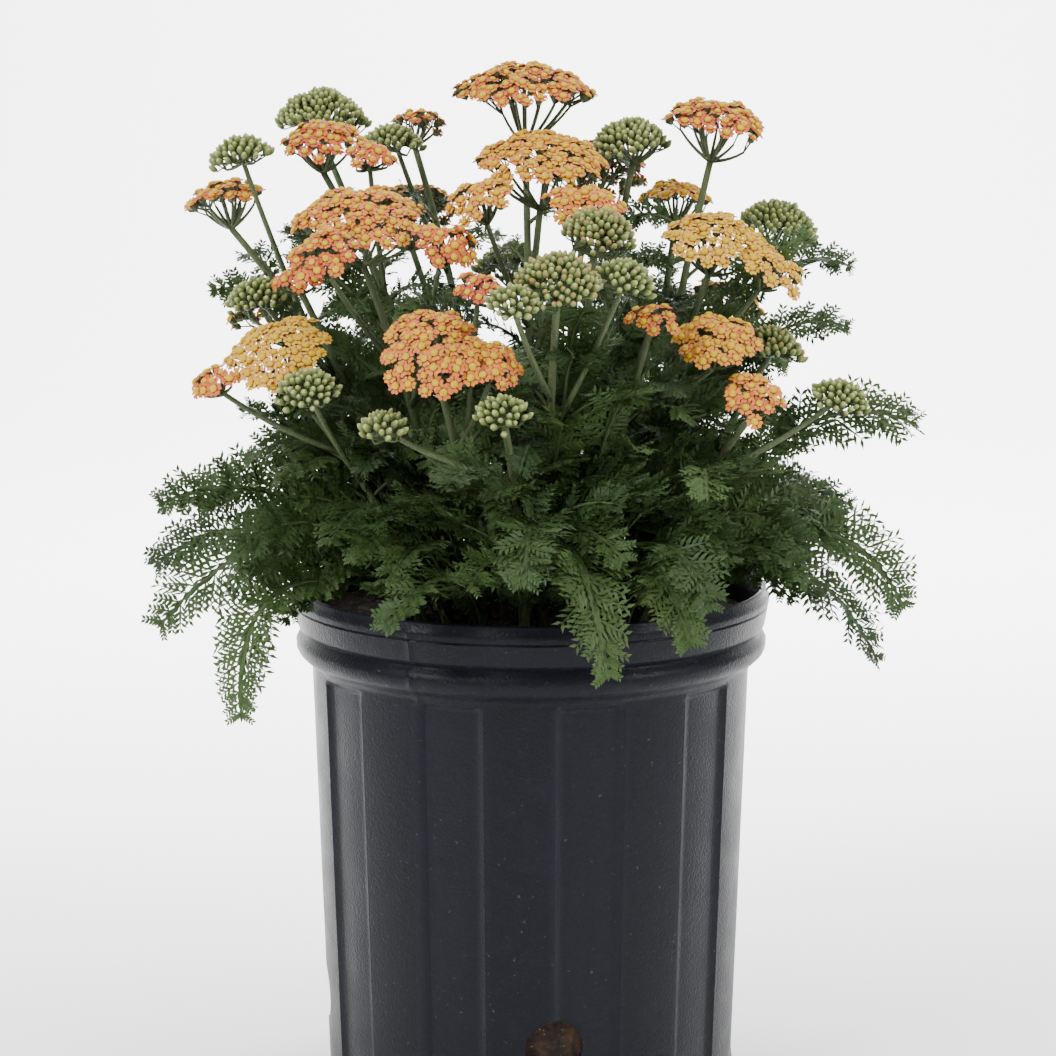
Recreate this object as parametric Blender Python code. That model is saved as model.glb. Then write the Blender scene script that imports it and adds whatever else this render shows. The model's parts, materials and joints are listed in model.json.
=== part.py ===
"""A yarrow plant in a fluted nursery pot.

Lengths are millimetres until a mesh is made. The origin is the middle of the pot's base, +Z is up,
-Y is the front and +X is to the right as seen from the front.
"""

import math
import random

import bmesh
import bpy
import numpy as np
from mathutils.bvhtree import BVHTree

MM = 0.001
GAP = 0.3
SEED = 11
GOLDEN_ANGLE = math.pi * (3 - math.sqrt(5))

POT_SIDES = 40
PANELS = 20
RIM_RADIUS = 82.5
POT_HEIGHT = 175.5
FLUTE_DEPTH = 1.7
WALL = 1.6
FLOOR_THICKNESS = 2.4
DRAIN_RADIUS = 9.7
DRAIN_HEIGHT = 31.0
FIRST_DRAIN = math.radians(-84)
DRAINS = 4

SOIL_TOP = 165.0
SOIL_RELIEF = 2.0
STEM_FOOT = 148.0
STEM_RADIUS = 1.9
STEM_TIP_RADIUS = 1.3
BRANCH_RADIUS = 0.8
NEIGHBOURS = ((1, 0), (0, 1), (-1, 1), (-1, 0), (0, -1), (1, -1))
CORE_THICKNESS = 3.0
DOME = 0.26
FLORET_SPACING = 10.5
PETAL_LIFT = 1.3
DISC_LIFT = 2.4
BUD_SPACING = 6.8
BLADE = 0.7
RIB = 0.8
LEAFLET_PAIRS = 6
BARE_STALK = 0.3
SMALL_CLUSTER = 9.5

# Each open cluster: centre of its dome, radius, lean of its axis to +X and +Y, and colour.
OPEN_HEADS = {
    "a": ((-2, 24, 345), 25.5, (0.0, -0.05), "orange"),
    "b": ((64, 16, 334), 18.5, (0.15, -0.15), "salmon"),
    "c_crown": ((3, -8, 322), 23, (0.0, -0.25), "gold"),
    "c_left": ((-17, -33, 309), 12, (-0.3, -0.5), "gold"),
    "c_right": ((18, -33, 307), 14, (0.2, -0.6), "peach"),
    "d": ((-73, 16, 327), 15, (-0.1, -0.3), "salmon"),
    "d_side": ((-55, 6, 321), 9, (0.3, -0.4), "salmon"),
    "e": ((-41, 62, 332), 11, (0.1, 0.2), "salmon"),
    "f": ((-106, 12, 308), 14.5, (-0.25, 0.0), "orange"),
    "h_crown": ((-57, -25, 304), 23, (-0.05, -0.3), "peach"),
    "h_left": ((-67, -52, 293), 12.5, (-0.2, -0.6), "salmon"),
    "h_right": ((-28, -43, 295), 11.5, (0.3, -0.6), "salmon"),
    "i": ((-78, -24, 281), 8, (-0.2, -0.5), "salmon"),
    "j": ((-84, -42, 260), 18, (-0.3, -0.7), "yellow"),
    "j_side": ((-104, -46, 249), 8.5, (-0.7, -0.7), "orange"),
    "k": ((-31, -78, 264), 18, (-0.1, -1.0), "peach"),
    "k_side": ((-11, -78, 259), 9.8, (0.4, -0.9), "peach"),
    "k_top": ((-17, -66, 281), 8.5, (0.1, -0.7), "salmon"),
    "l": ((61, -18, 296), 18, (0.1, -0.4), "yellow"),
    "l_side": ((81, -24, 286), 12, (0.6, -0.5), "yellow"),
    "m": ((51, 38, 307), 14, (0.0, 0.0), "gold"),
    "n": ((39, -56, 271), 8, (0.0, -0.7), "peach"),
    "o": ((60, -46, 264), 14.5, (0.0, -0.6), "gold"),
    "p": ((72, -60, 247), 11, (0.1, -0.7), "peach"),
    "back_left": ((-46, 74, 300), 20, (-0.2, 0.5), "peach"),
    "back_right": ((22, 70, 316), 21, (0.1, 0.5), "orange"),
    "back_low": ((72, 62, 268), 15, (0.5, 0.5), "gold"),
    "back_side": ((-96, 44, 268), 14, (-0.5, 0.4), "yellow"),
}

# Each closed bud cluster: centre, radius and lean of its axis to +X and +Y.
BUD_HEADS = {
    "buds_a": ((-74, 48, 337), 15, (0.0, 0.0)),
    "buds_b": ((-98, -6, 323), 9, (-0.2, 0.0)),
    "buds_c": ((-48, 36, 326), 8.5, (0.1, 0.0)),
    "buds_f": ((-92, -16, 276), 9, (-0.2, -0.2)),
    "buds_g": ((-72, -66, 250), 8.5, (-0.1, -0.5)),
    "buds_h": ((-47, -78, 239), 6, (-0.1, -0.4)),
    "buds_i": ((-6, -95, 280), 6.5, (0.0, -0.6)),
    "buds_j": ((8, -84, 288), 12.5, (0.0, -0.5)),
    "buds_k": ((22, -56, 301), 11, (0.2, -0.2)),
    "buds_l": ((30, -74, 286), 8, (0.4, -0.3)),
    "buds_m": ((-9, -90, 245), 7, (0.0, -0.5)),
    "buds_n": ((34, 18, 328), 12, (-0.1, -0.1)),
    "buds_o": ((89, 46, 298), 13, (0.3, 0.0)),
    "buds_p": ((84, 0, 258), 9.5, (0.2, -0.1)),
    "buds_q": ((103, -30, 243), 8.5, (0.3, -0.3)),
    "buds_back": ((-8, 88, 280), 12, (0.0, 0.5)),
}

# Each leafy stem: its foot on the soil and the clusters that its fork carries.
STEMS = {
    "stem_a": ((0, 16), ("a",)),
    "stem_b": ((36, 6), ("b",)),
    "stem_c": ((-4, -14), ("c_crown", "c_left", "c_right")),
    "stem_d": ((-24, 14), ("d", "d_side")),
    "stem_e": ((-14, 30), ("e", "buds_c")),
    "stem_f": ((-40, 10), ("f", "buds_b")),
    "stem_h": ((-28, -10), ("h_crown", "h_left", "h_right")),
    "stem_i": ((-42, -8), ("i", "buds_f")),
    "stem_j": ((-38, -26), ("j", "j_side", "buds_g")),
    "stem_k": ((-16, -36), ("k", "k_side", "k_top")),
    "stem_l": ((32, -8), ("l", "l_side")),
    "stem_m": ((34, 26), ("m", "buds_o")),
    "stem_n": ((20, -30), ("n", "o")),
    "stem_p": ((38, -28), ("p", "buds_q")),
    "stem_r": ((46, -4), ("buds_p",)),
    "stem_t": ((-32, 34), ("buds_a",)),
    "stem_u": ((16, 6), ("buds_n",)),
    "stem_v": ((4, -40), ("buds_j", "buds_i", "buds_l")),
    "stem_w": ((-2, -52), ("buds_m", "buds_h")),
    "stem_x": ((-18, 46), ("back_left",)),
    "stem_y": ((8, 44), ("back_right", "buds_back")),
    "stem_z": ((34, 42), ("back_low",)),
    "stem_s": ((-48, 22), ("back_side",)),
    "stem_o": ((12, -16), ("buds_k",)),
}

# The fronds that draw the outline: root, the point that they arch toward, tip and half width.
LONG_FRONDS = (
    ((-38, -26, 190), (-84, -44, 216), (-124, -42, 168), 14),
    ((-40, -24, 172), (-100, -50, 204), (-96, -52, 139), 12),
    ((-40, 10, 178), (-92, -6, 222), (-126, -16, 205), 11),
    ((-38, -26, 176), (-96, -22, 214), (-126, -28, 186), 12),
    ((-66, -8, 258), (-88, -4, 282), (-108, -8, 277), 7),
    ((38, -28, 196), (92, -26, 252), (129, -20, 233), 12),
    ((34, 26, 240), (84, 26, 296), (111, 20, 283), 8),
    ((34, 10, 226), (84, 8, 274), (109, 8, 263), 8),
    ((38, -28, 176), (102, -22, 222), (127, -18, 170), 13),
    ((38, -28, 170), (88, -50, 214), (115, -44, 157), 12),
    ((2, -40, 176), (12, -92, 232), (24, -98, 163), 13),
    ((-16, -36, 172), (-26, -84, 206), (-46, -96, 178), 11),
    ((20, -30, 172), (40, -84, 214), (50, -92, 172), 11),
)

BASAL_FRONDS = 8
STEM_LEAF_HEIGHTS = (0.5, 0.72)


def unit(vector):
    return np.asarray(vector, float) / np.linalg.norm(vector)


def bezier(start, middle, end, shares):
    """Points along a curve that leaves start toward middle and comes to end from middle."""
    t = np.linspace(0, 1, shares)[:, None] if isinstance(shares, int) else np.asarray(shares)[:, None]
    start, middle, end = (np.asarray(point, float) for point in (start, middle, end))
    return start * (1 - t) ** 2 + middle * 2 * t * (1 - t) + end * t**2


def axis_of(lean):
    return unit((lean[0], lean[1], 1))


def frame_of(axis):
    """Two directions square to the axis and to each other."""
    across = unit(np.cross(axis, (0.12, 1, 0.07)))
    return across, np.cross(axis, across)


def tube(path, radii, sides):
    """A closed tube with flat ends along the path."""
    path = np.asarray(path, float)
    tangents = np.gradient(path, axis=0)
    points = []
    for centre, tangent, radius in zip(path, tangents, radii):
        across, along = frame_of(unit(tangent))
        for k in range(sides):
            turn = 2 * math.pi * k / sides
            points.append(centre + radius * (math.cos(turn) * across + math.sin(turn) * along))
    faces = []
    for ring in range(len(path) - 1):
        for k in range(sides):
            a, b = ring * sides + k, ring * sides + (k + 1) % sides
            faces.append((a, b, b + sides, a + sides))
    faces.append(tuple(range(sides - 1, -1, -1)))
    faces.append(tuple(range(len(points) - sides, len(points))))
    return points, faces


def dome_point(centre, axis, radius, across_by, along_by, lift):
    """A point on a cluster's dome, raised by lift square to the dome there."""
    across, along = frame_of(axis)
    spread = across_by * across + along_by * along
    fall = (across_by**2 + along_by**2) / radius**2
    normal = unit(axis + 2 * DOME / radius * spread)
    return centre + spread + DOME * radius * (1 - fall) * axis + lift * normal


def honeycomb(radius, spacing):
    """Cells that fill a disc, as steps along two directions 60 degrees apart, and their pitch."""
    rings = max(1, round(radius / spacing - 0.5))
    steps = range(-rings, rings + 1)
    cells = [(i, j) for i in steps for j in steps if abs(i + j) <= rings]
    return cells, radius / (rings + 0.5)


def cell_middle(cell, pitch):
    return pitch * (cell[0] + 0.5 * cell[1]), pitch * cell[1] * math.sqrt(0.75)


def cell_corner(cell, pitch, k):
    turn = math.radians(30 + 60 * k)
    middle = cell_middle(cell, pitch)
    reach = pitch / math.sqrt(3)
    return middle[0] + reach * math.cos(turn), middle[1] + reach * math.sin(turn)


def flower_cluster(centre, radius, lean, spacing, petalled):
    """A domed cluster in one skin: each cell is a floret, six ridges of petals round
    a raised disc, or one pointed bud."""
    centre, axis = np.asarray(centre, float), axis_of(lean)
    cells, pitch = honeycomb(radius, spacing)
    points, faces, known = [], [], {}

    def point(across_by, along_by, lift):
        key = (round(across_by, 2), round(along_by, 2), lift)
        if key not in known:
            known[key] = len(points)
            points.append(dome_point(centre, axis, radius, across_by, along_by, lift))
        return known[key]

    bottom = point(0, 0, -CORE_THICKNESS)
    for cell in cells:
        top = point(*cell_middle(cell, pitch), DISC_LIFT if petalled else 0.7 * pitch)
        low = [point(*cell_corner(cell, pitch, k), 0) for k in range(6)]
        for k, (step_i, step_j) in enumerate(NEIGHBOURS):
            beyond = (cell[0] + step_i, cell[1] + step_j)
            before, after = low[k - 1], low[k]
            if petalled:
                middle, other = cell_middle(cell, pitch), cell_middle(beyond, pitch)
                tip = point(*np.add(middle, other) / 2, PETAL_LIFT)
                faces += [(top, before, tip), (top, tip, after)]
                if beyond not in cells:
                    faces.append((before, tip, after))
            else:
                faces.append((top, before, after))
            if beyond not in cells:
                faces.append((before, after, bottom))
    return points, faces


def under_points(centre, radius, lean, spacing, clearance):
    """The middle of a cluster's underside and six points round it, each lowered by the clearance."""
    centre, axis = np.asarray(centre, float), axis_of(lean)
    cells, pitch = honeycomb(radius, spacing)
    rings = max(cell[0] for cell in cells)
    middle = dome_point(centre, axis, radius, 0, 0, -CORE_THICKNESS)
    places = [middle]
    for k, (step_i, step_j) in enumerate(NEIGHBOURS):
        outer = (rings * step_i, rings * step_j)
        corners = [dome_point(centre, axis, radius, *cell_corner(outer, pitch, side), 0) for side in (k - 1, k)]
        places.append(middle + 0.55 * (np.mean(corners, axis=0) - middle))
    return [place - clearance * axis for place in places]


def open_cluster(centre, radius, lean):
    """A coloured cluster, covered by florets."""
    return [flower_cluster(centre, radius, lean, FLORET_SPACING, True)]


def bud_cluster(centre, radius, lean):
    """A green cluster, covered by buds."""
    return [flower_cluster(centre, radius, lean, BUD_SPACING, False)]


def spray(path, radii, ends, axis):
    """A stem whose end parts into three branches, each cut flat, square to the axis, at the end it faces."""
    points, faces = tube(path, radii, 3)
    if not ends:
        return points, faces
    faces.pop()
    joint = np.asarray(path[-1], float)
    ring = [len(points) - 3 + k for k in range(3)]
    apex = len(points)
    points.append(joint + radii[-1] * unit(joint - path[-2]))
    for k in range(3):
        base = (ring[k], ring[(k + 1) % 3], apex)
        facing = unit((points[base[0]] + points[base[1]] + points[apex]) / 3 - joint)
        end = max(ends, key=lambda place: float(np.dot(unit(place - joint), facing)))
        outward = unit(facing - np.dot(facing, axis) * axis)
        sideways = points[base[1]] - points[base[0]]
        sideways = unit(sideways - np.dot(sideways, axis) * axis)
        first = len(points)
        points.append(end + BRANCH_RADIUS * (0.5 * outward - 0.85 * sideways))
        points.append(end + BRANCH_RADIUS * (0.5 * outward + 0.85 * sideways))
        points.append(end - BRANCH_RADIUS * outward)
        for side in range(3):
            faces.append((base[side], base[(side + 1) % 3], first + (side + 1) % 3, first + side))
        faces.append((first, first + 1, first + 2))
    return points, faces


def frond(root, middle, tip, half_width, pairs=LEAFLET_PAIRS):
    """A feathery leaf: one thin arched blade, cut to the rib into pointed leaflets."""
    centre = bezier(root, middle, tip, np.concatenate([[0], np.linspace(BARE_STALK, 1, pairs + 1)]))
    tangent = np.gradient(centre, axis=0)
    tangent /= np.linalg.norm(tangent, axis=1)[:, None]
    side = np.cross(tangent, (0, 0, 1))
    side /= np.linalg.norm(side, axis=1)[:, None]
    normal = np.cross(side, tangent)
    rows = []
    for lift in (0.5 * BLADE, -0.5 * BLADE):
        for sign in (-1, 1):
            rows.append(centre + sign * RIB * side + lift * normal)
    leaflet_tips = []
    pitch = np.linalg.norm(np.diff(centre, axis=0), axis=1).mean()
    for lift in (0.5 * BLADE, -0.5 * BLADE):
        for sign in (-1, 1):
            for k in range(1, pairs + 1):
                along = (k - 0.5) / pairs
                width = half_width * math.sin(math.pi * (0.12 + 0.8 * along) ** 1.15) ** 0.8 + 1.2
                spread = sign * side[k] * width + tangent[k] * (0.9 * pitch) + normal[k] * (0.12 * width + lift)
                leaflet_tips.append(centre[k] + spread)
    rib_points = np.concatenate(rows)
    points = list(rib_points) + leaflet_tips
    count = pairs + 2
    first_tip = 4 * count
    faces = []
    for k in range(count - 1):
        left, right, under_left, under_right = (row * count + k for row in range(4))
        faces.append((left, right, right + 1, left + 1))
        faces.append((under_left, under_left + 1, under_right + 1, under_right))
        for sign, top, under in ((0, left, under_left), (1, right, under_right)):
            if k == 0:
                faces.append((top, top + 1, under + 1, under))
                continue
            tip_top = first_tip + sign * pairs + k - 1
            tip_under = first_tip + (2 + sign) * pairs + k - 1
            faces.append((top, top + 1, tip_top))
            faces.append((under, tip_under, under + 1))
            faces.append((top, tip_top, tip_under, under))
            faces.append((top + 1, under + 1, tip_under, tip_top))
    faces.append((0, 2 * count, 3 * count, count))
    faces.append((count - 1, 2 * count - 1, 4 * count - 1, 3 * count - 1))
    return points, faces


def cluster(name):
    return OPEN_HEADS[name] if name in OPEN_HEADS else BUD_HEADS[name]


def fitting(name):
    """The pitch that a cluster's cells are near, and how far below it its branches end."""
    return (FLORET_SPACING, GAP + 0.3) if name in OPEN_HEADS else (BUD_SPACING, -0.8)


def joint_under(name):
    """The point below a cluster where its stalk parts into branches, or meets it if it is small."""
    centre, radius, lean = cluster(name)[:3]
    if radius > SMALL_CLUSTER:
        return np.asarray(centre, float) - 0.8 * radius * axis_of(lean)
    return under_points(centre, radius, lean, *fitting(name))[0]


def stem_path(foot, clusters, count=6):
    """A stem rises from its foot and leans out to the fork of its first cluster."""
    joint = joint_under(clusters[0])
    start = np.array((foot[0], foot[1], STEM_FOOT))
    middle = np.array((foot[0] * 1.2, foot[1] * 1.2, SOIL_TOP + 0.5 * (joint[2] - SOIL_TOP)))
    rising = bezier(start + (0, 0, SOIL_TOP - STEM_FOOT + 4), middle, joint, count)
    return np.vstack([start, rising])


def along(path, share):
    place = (len(path) - 1) * share
    return path[int(place)] * (1 - place % 1) + path[min(int(place) + 1, len(path) - 1)] * (place % 1)


def leafy_stem(foot, clusters, draw):
    """One stem with its branches, its closed clusters and its leaves."""
    path = stem_path(foot, clusters)
    pieces = []
    for k, name in enumerate(clusters):
        centre, radius, lean = cluster(name)[:3]
        if k == 0:
            route, radii = path, np.linspace(STEM_RADIUS, STEM_TIP_RADIUS, len(path))
        else:
            start, joint = along(path, 0.86 - 0.1 * k), joint_under(name)
            bow = start * 0.45 + joint * 0.55 - (0, 0, 4)
            route, radii = bezier(start, bow, joint, 3), [STEM_TIP_RADIUS] * 3
        ends = under_points(centre, radius, lean, *fitting(name))[1:] if radius > SMALL_CLUSTER else []
        pieces.append(spray(route, radii, ends, axis_of(lean)))
        if name in BUD_HEADS:
            pieces += bud_cluster(centre, radius, lean)
    outward = math.atan2(foot[1], foot[0])
    heights = STEM_LEAF_HEIGHTS if math.hypot(*foot) > 42 else STEM_LEAF_HEIGHTS[:1]
    for k, height in enumerate(heights):
        root = along(path, height)
        turn = outward + (-1) ** k * 0.8 + draw.uniform(-0.3, 0.3)
        reach = draw.uniform(30, 42)
        sideways = np.array((math.cos(turn), math.sin(turn), 0))
        middle = root + sideways * reach * 0.55 + (0, 0, reach * 0.42)
        tip = root + sideways * reach + (0, 0, reach * draw.uniform(-0.05, 0.25))
        pieces.append(frond(root, middle, tip, reach * 0.22, 4))
    return pieces


def basal_fronds(draw):
    """Fronds round the plant's foot, arching over the pot's rim, each with the stem that it grows on."""
    feet = {name: np.array(foot, float) for name, (foot, _) in STEMS.items()}
    for k in range(BASAL_FRONDS):
        turn = k * GOLDEN_ANGLE + 0.4
        outward = np.array((math.cos(turn), math.sin(turn), 0))
        name = min(feet, key=lambda key: np.linalg.norm(feet[key] - 34 * outward[:2]))
        root = np.array((*feet[name], SOIL_TOP + 5 + k % 3))
        reach = draw.uniform(66, 84)
        middle = root + outward * reach * 0.62 + (0, 0, draw.uniform(48, 66))
        tip = root + outward * reach + (0, 0, draw.uniform(12, 30))
        yield name, (root, middle, tip, 12, 6)


def root_on_stem(root):
    """The stem whose line passes nearest a frond's root, and the point on it."""
    best = None
    for name, (foot, clusters) in STEMS.items():
        path = stem_path(foot, clusters, 40)
        distances = np.linalg.norm(path - np.asarray(root, float), axis=1)
        index = int(distances.argmin())
        if best is None or distances[index] < best[0]:
            best = (distances[index], name, path[index])
    return best[1], best[2]


def polygons(pieces):
    """All the pieces' points and faces as one list of each."""
    points, faces = [], []
    for piece_points, piece_faces in pieces:
        faces += [tuple(len(points) + corner for corner in face) for face in piece_faces]
        points += [tuple(float(value) for value in point) for point in piece_points]
    return points, faces


def crossing_groups(plants):
    """Joins the names of plants whose solids cross, and yields each group of names."""
    trees = {name: BVHTree.FromPolygons(*polygons(pieces)) for name, pieces in plants.items()}
    groups = {name: {name} for name in plants}
    names = list(plants)
    for index, first in enumerate(names):
        for second in names[index + 1 :]:
            if groups[first] is not groups[second] and trees[first].overlap(trees[second]):
                joined = groups[first] | groups[second]
                for name in joined:
                    groups[name] = joined
    done = []
    for name in names:
        if groups[name] not in done:
            done.append(groups[name])
            yield [other for other in names if other in groups[name]]


def material(name, colour, roughness):
    made = bpy.data.materials.new(name)
    made.use_nodes = True
    shader = made.node_tree.nodes["Principled BSDF"]
    shader.inputs["Base Color"].default_value = (*colour, 1)
    shader.inputs["Roughness"].default_value = roughness
    shader.inputs["Metallic"].default_value = 0
    return made


def solid(name, points, faces, coat=None):
    """A mesh object in metres from points in millimetres, its faces turned outward."""
    mesh = bpy.data.meshes.new(name)
    mesh.from_pydata([tuple(float(value) * MM for value in point) for point in points], [], faces)
    shape = bmesh.new()
    shape.from_mesh(mesh)
    bmesh.ops.recalc_face_normals(shape, faces=shape.faces)
    bmesh.ops.triangulate(shape, faces=shape.faces)
    shape.to_mesh(mesh)
    shape.free()
    made = bpy.data.objects.new(name, mesh)
    if coat:
        mesh.materials.append(coat)
    bpy.context.scene.collection.objects.link(made)
    return made


def combine(name, operation, pieces, start, coat, solver="MANIFOLD"):
    """Applies one Boolean of all the pieces to the start object, then removes the pieces."""
    tools = bpy.data.collections.new(name + "_pieces")
    for index, (points, faces) in enumerate(pieces):
        tool = solid(f"{name}_piece_{index}", points, faces)
        bpy.context.scene.collection.objects.unlink(tool)
        tools.objects.link(tool)
    bpy.context.scene.collection.children.link(tools)
    modifier = start.modifiers.new("combine", "BOOLEAN")
    modifier.operation = operation
    modifier.operand_type = "COLLECTION"
    modifier.collection = tools
    modifier.solver = solver
    bpy.context.view_layer.update()
    graph = bpy.context.evaluated_depsgraph_get()
    joined = bpy.data.meshes.new_from_object(start.evaluated_get(graph))
    start.modifiers.clear()
    start.data = joined
    joined.materials.clear()
    joined.materials.append(coat)
    for tool in list(tools.objects):
        bpy.data.objects.remove(tool, do_unlink=True)
    bpy.data.collections.remove(tools)
    return start


def fused(name, pieces, coat):
    """One object from closed pieces that overlap."""
    first, *others = pieces
    made = solid(name, *first, coat)
    if others:
        combine(name, "UNION", others, made, coat)
        keep_largest(made)
    return made


def keep_largest(made):
    """Drops the loose scraps that a union can leave."""
    shape = bmesh.new()
    shape.from_mesh(made.data)
    bmesh.ops.triangulate(shape, faces=shape.faces)
    seen, bodies = set(), []
    for start in shape.verts:
        if start.index in seen:
            continue
        seen.add(start.index)
        body, waiting = [], [start]
        while waiting:
            vertex = waiting.pop()
            body.append(vertex)
            for edge in vertex.link_edges:
                other = edge.other_vert(vertex)
                if other.index not in seen:
                    seen.add(other.index)
                    waiting.append(other)
        bodies.append(body)
    bodies.sort(key=len, reverse=True)
    for body in bodies[1:]:
        bmesh.ops.delete(shape, geom=body, context="VERTS")
    shape.to_mesh(made.data)
    shape.free()


def pot_radius(height, turn):
    """The fluted wall: twenty upright panels, every other one set back, fading out at both ends."""
    taper = 71.2 + (75.8 - 71.2) * height / 140
    phase = (math.degrees(turn) + 102) / (360 / PANELS)
    recessed = int(math.floor(phase)) % 2 == 1
    return taper - (FLUTE_DEPTH if recessed else 0)


def pot_rings():
    """The pot's skin from the middle of its base, up the outside, over the lip and down the inside."""
    plain = [(0, 68.0), (2, 70.2)]
    fluted = [8, 144]
    upper = [(149, 76.5), (152.5, 80.6), (157, 81.3), (160, 79.0), (161.5, 80.9)]
    upper += [(171, RIM_RADIUS), (POT_HEIGHT, 80.4), (160, 77.6)]
    inside = [(148, 73.6), (FLOOR_THICKNESS, 67.6)]
    rings = []
    for height, radius in plain:
        rings.append((height, lambda turn, radius=radius: radius))
    for height in fluted:
        rings.append((height, lambda turn, height=height: pot_radius(height, turn)))
    for height, radius in upper + inside:
        rings.append((height, lambda turn, radius=radius: radius))
    return rings


def make_pot(coat):
    points, faces = [(0, 0, 0)], []
    rings = pot_rings()
    for height, radius_at in rings:
        for k in range(POT_SIDES):
            turn = 2 * math.pi * k / POT_SIDES
            radius = radius_at(turn + 0.25 * math.pi / PANELS)
            points.append((radius * math.cos(turn), radius * math.sin(turn), height))
    points.append((0, 0, FLOOR_THICKNESS))
    for ring in range(len(rings) - 1):
        for k in range(POT_SIDES):
            a, b = 1 + ring * POT_SIDES + k, 1 + ring * POT_SIDES + (k + 1) % POT_SIDES
            faces.append((a, b, b + POT_SIDES, a + POT_SIDES))
    last = len(points) - 1
    for k in range(POT_SIDES):
        following = (k + 1) % POT_SIDES
        faces.append((0, 1 + following, 1 + k))
        faces.append((last, last - POT_SIDES + k, last - POT_SIDES + following))
    pot = solid("pot", points, faces, coat)
    cutters = []
    for k in range(DRAINS):
        turn = FIRST_DRAIN + 2 * math.pi * k / DRAINS
        outward = np.array((math.cos(turn), math.sin(turn), 0))
        start = outward * 60 + (0, 0, DRAIN_HEIGHT)
        cutters.append(tube([start, start + outward * 20], [DRAIN_RADIUS] * 2, 14))
    combine("pot", "DIFFERENCE", cutters, pot, coat, "EXACT")
    pot.data.shade_smooth()
    pot.data.set_sharp_from_angle(angle=math.radians(30))
    return pot


def make_soil(coat, draw):
    """The potting mix, clear of the pot's wall and floor, with a plain hole for each stem."""
    bottom, waist = FLOOR_THICKNESS + GAP, 148.0
    rings = [(bottom, 67.6 - GAP - 0.2), (waist, 73.6 - GAP - 0.2), (SOIL_TOP - 3, 77.3 - GAP)]
    sides = POT_SIDES // 2
    points, faces = [(0, 0, bottom)], []
    for height, radius in rings:
        for k in range(sides):
            turn = 2 * math.pi * k / sides
            points.append((radius * math.cos(turn), radius * math.sin(turn), height))
    for reach in (56, 28):
        for k in range(sides):
            turn = 2 * math.pi * k / sides
            height = SOIL_TOP + draw.uniform(-1, 1) * SOIL_RELIEF
            points.append((reach * math.cos(turn), reach * math.sin(turn), height))
    points.append((0, 0, SOIL_TOP))
    for ring in range(4):
        for k in range(sides):
            a, b = 1 + ring * sides + k, 1 + ring * sides + (k + 1) % sides
            faces.append((a, b, b + sides, a + sides))
    last = len(points) - 1
    for k in range(sides):
        following = (k + 1) % sides
        faces.append((0, 1 + following, 1 + k))
        faces.append((last, last - sides + k, last - sides + following))
    soil = solid("soil", points, faces, coat)
    holes = []
    for foot, _ in STEMS.values():
        low, high = (*foot, STEM_FOOT - GAP), (*foot, SOIL_TOP + 8)
        holes.append(tube([low, high], [STEM_RADIUS + 3 * GAP] * 2, 4))
    combine("soil", "DIFFERENCE", holes, soil, coat)
    keep_largest(soil)
    return soil


def main():
    for old in list(bpy.data.objects):
        bpy.data.objects.remove(old, do_unlink=True)
    draw = random.Random(SEED)
    black = material("black_plastic", (0.021, 0.023, 0.028), 0.5)
    mix = material("potting_mix", (0.03, 0.018, 0.011), 0.95)
    green = material("leaf_green", (0.035, 0.085, 0.02), 0.6)
    petals = {
        "salmon": material("salmon_petals", (0.72, 0.19, 0.09), 0.6),
        "peach": material("peach_petals", (0.75, 0.30, 0.10), 0.6),
        "orange": material("orange_petals", (0.74, 0.26, 0.06), 0.6),
        "gold": material("gold_petals", (0.75, 0.38, 0.06), 0.6),
        "yellow": material("yellow_petals", (0.78, 0.50, 0.07), 0.6),
    }
    make_pot(black)
    make_soil(mix, draw)
    plants = {name: leafy_stem(foot, clusters, draw) for name, (foot, clusters) in STEMS.items()}
    for root, middle, tip, half_width in LONG_FRONDS:
        name, place = root_on_stem(root)
        plants[name].append(frond(place, middle, tip, half_width))
    for name, shape in basal_fronds(draw):
        plants[name].append(frond(*shape))
    for names in crossing_groups(plants):
        pieces = [piece for name in names for piece in plants[name]]
        fused("leafy_" + names[0], pieces, green)
    heads = {name: open_cluster(*shape[:3]) for name, shape in OPEN_HEADS.items()}
    for names in crossing_groups(heads):
        pieces = [piece for name in names for piece in heads[name]]
        fused("head_" + names[0], pieces, petals[OPEN_HEADS[names[0]][3]])


main()
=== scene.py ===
"""A yarrow plant in a fluted black nursery pot: florets, buds, feathery leaves, soil and pot."""

import json
import math
import random

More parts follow.
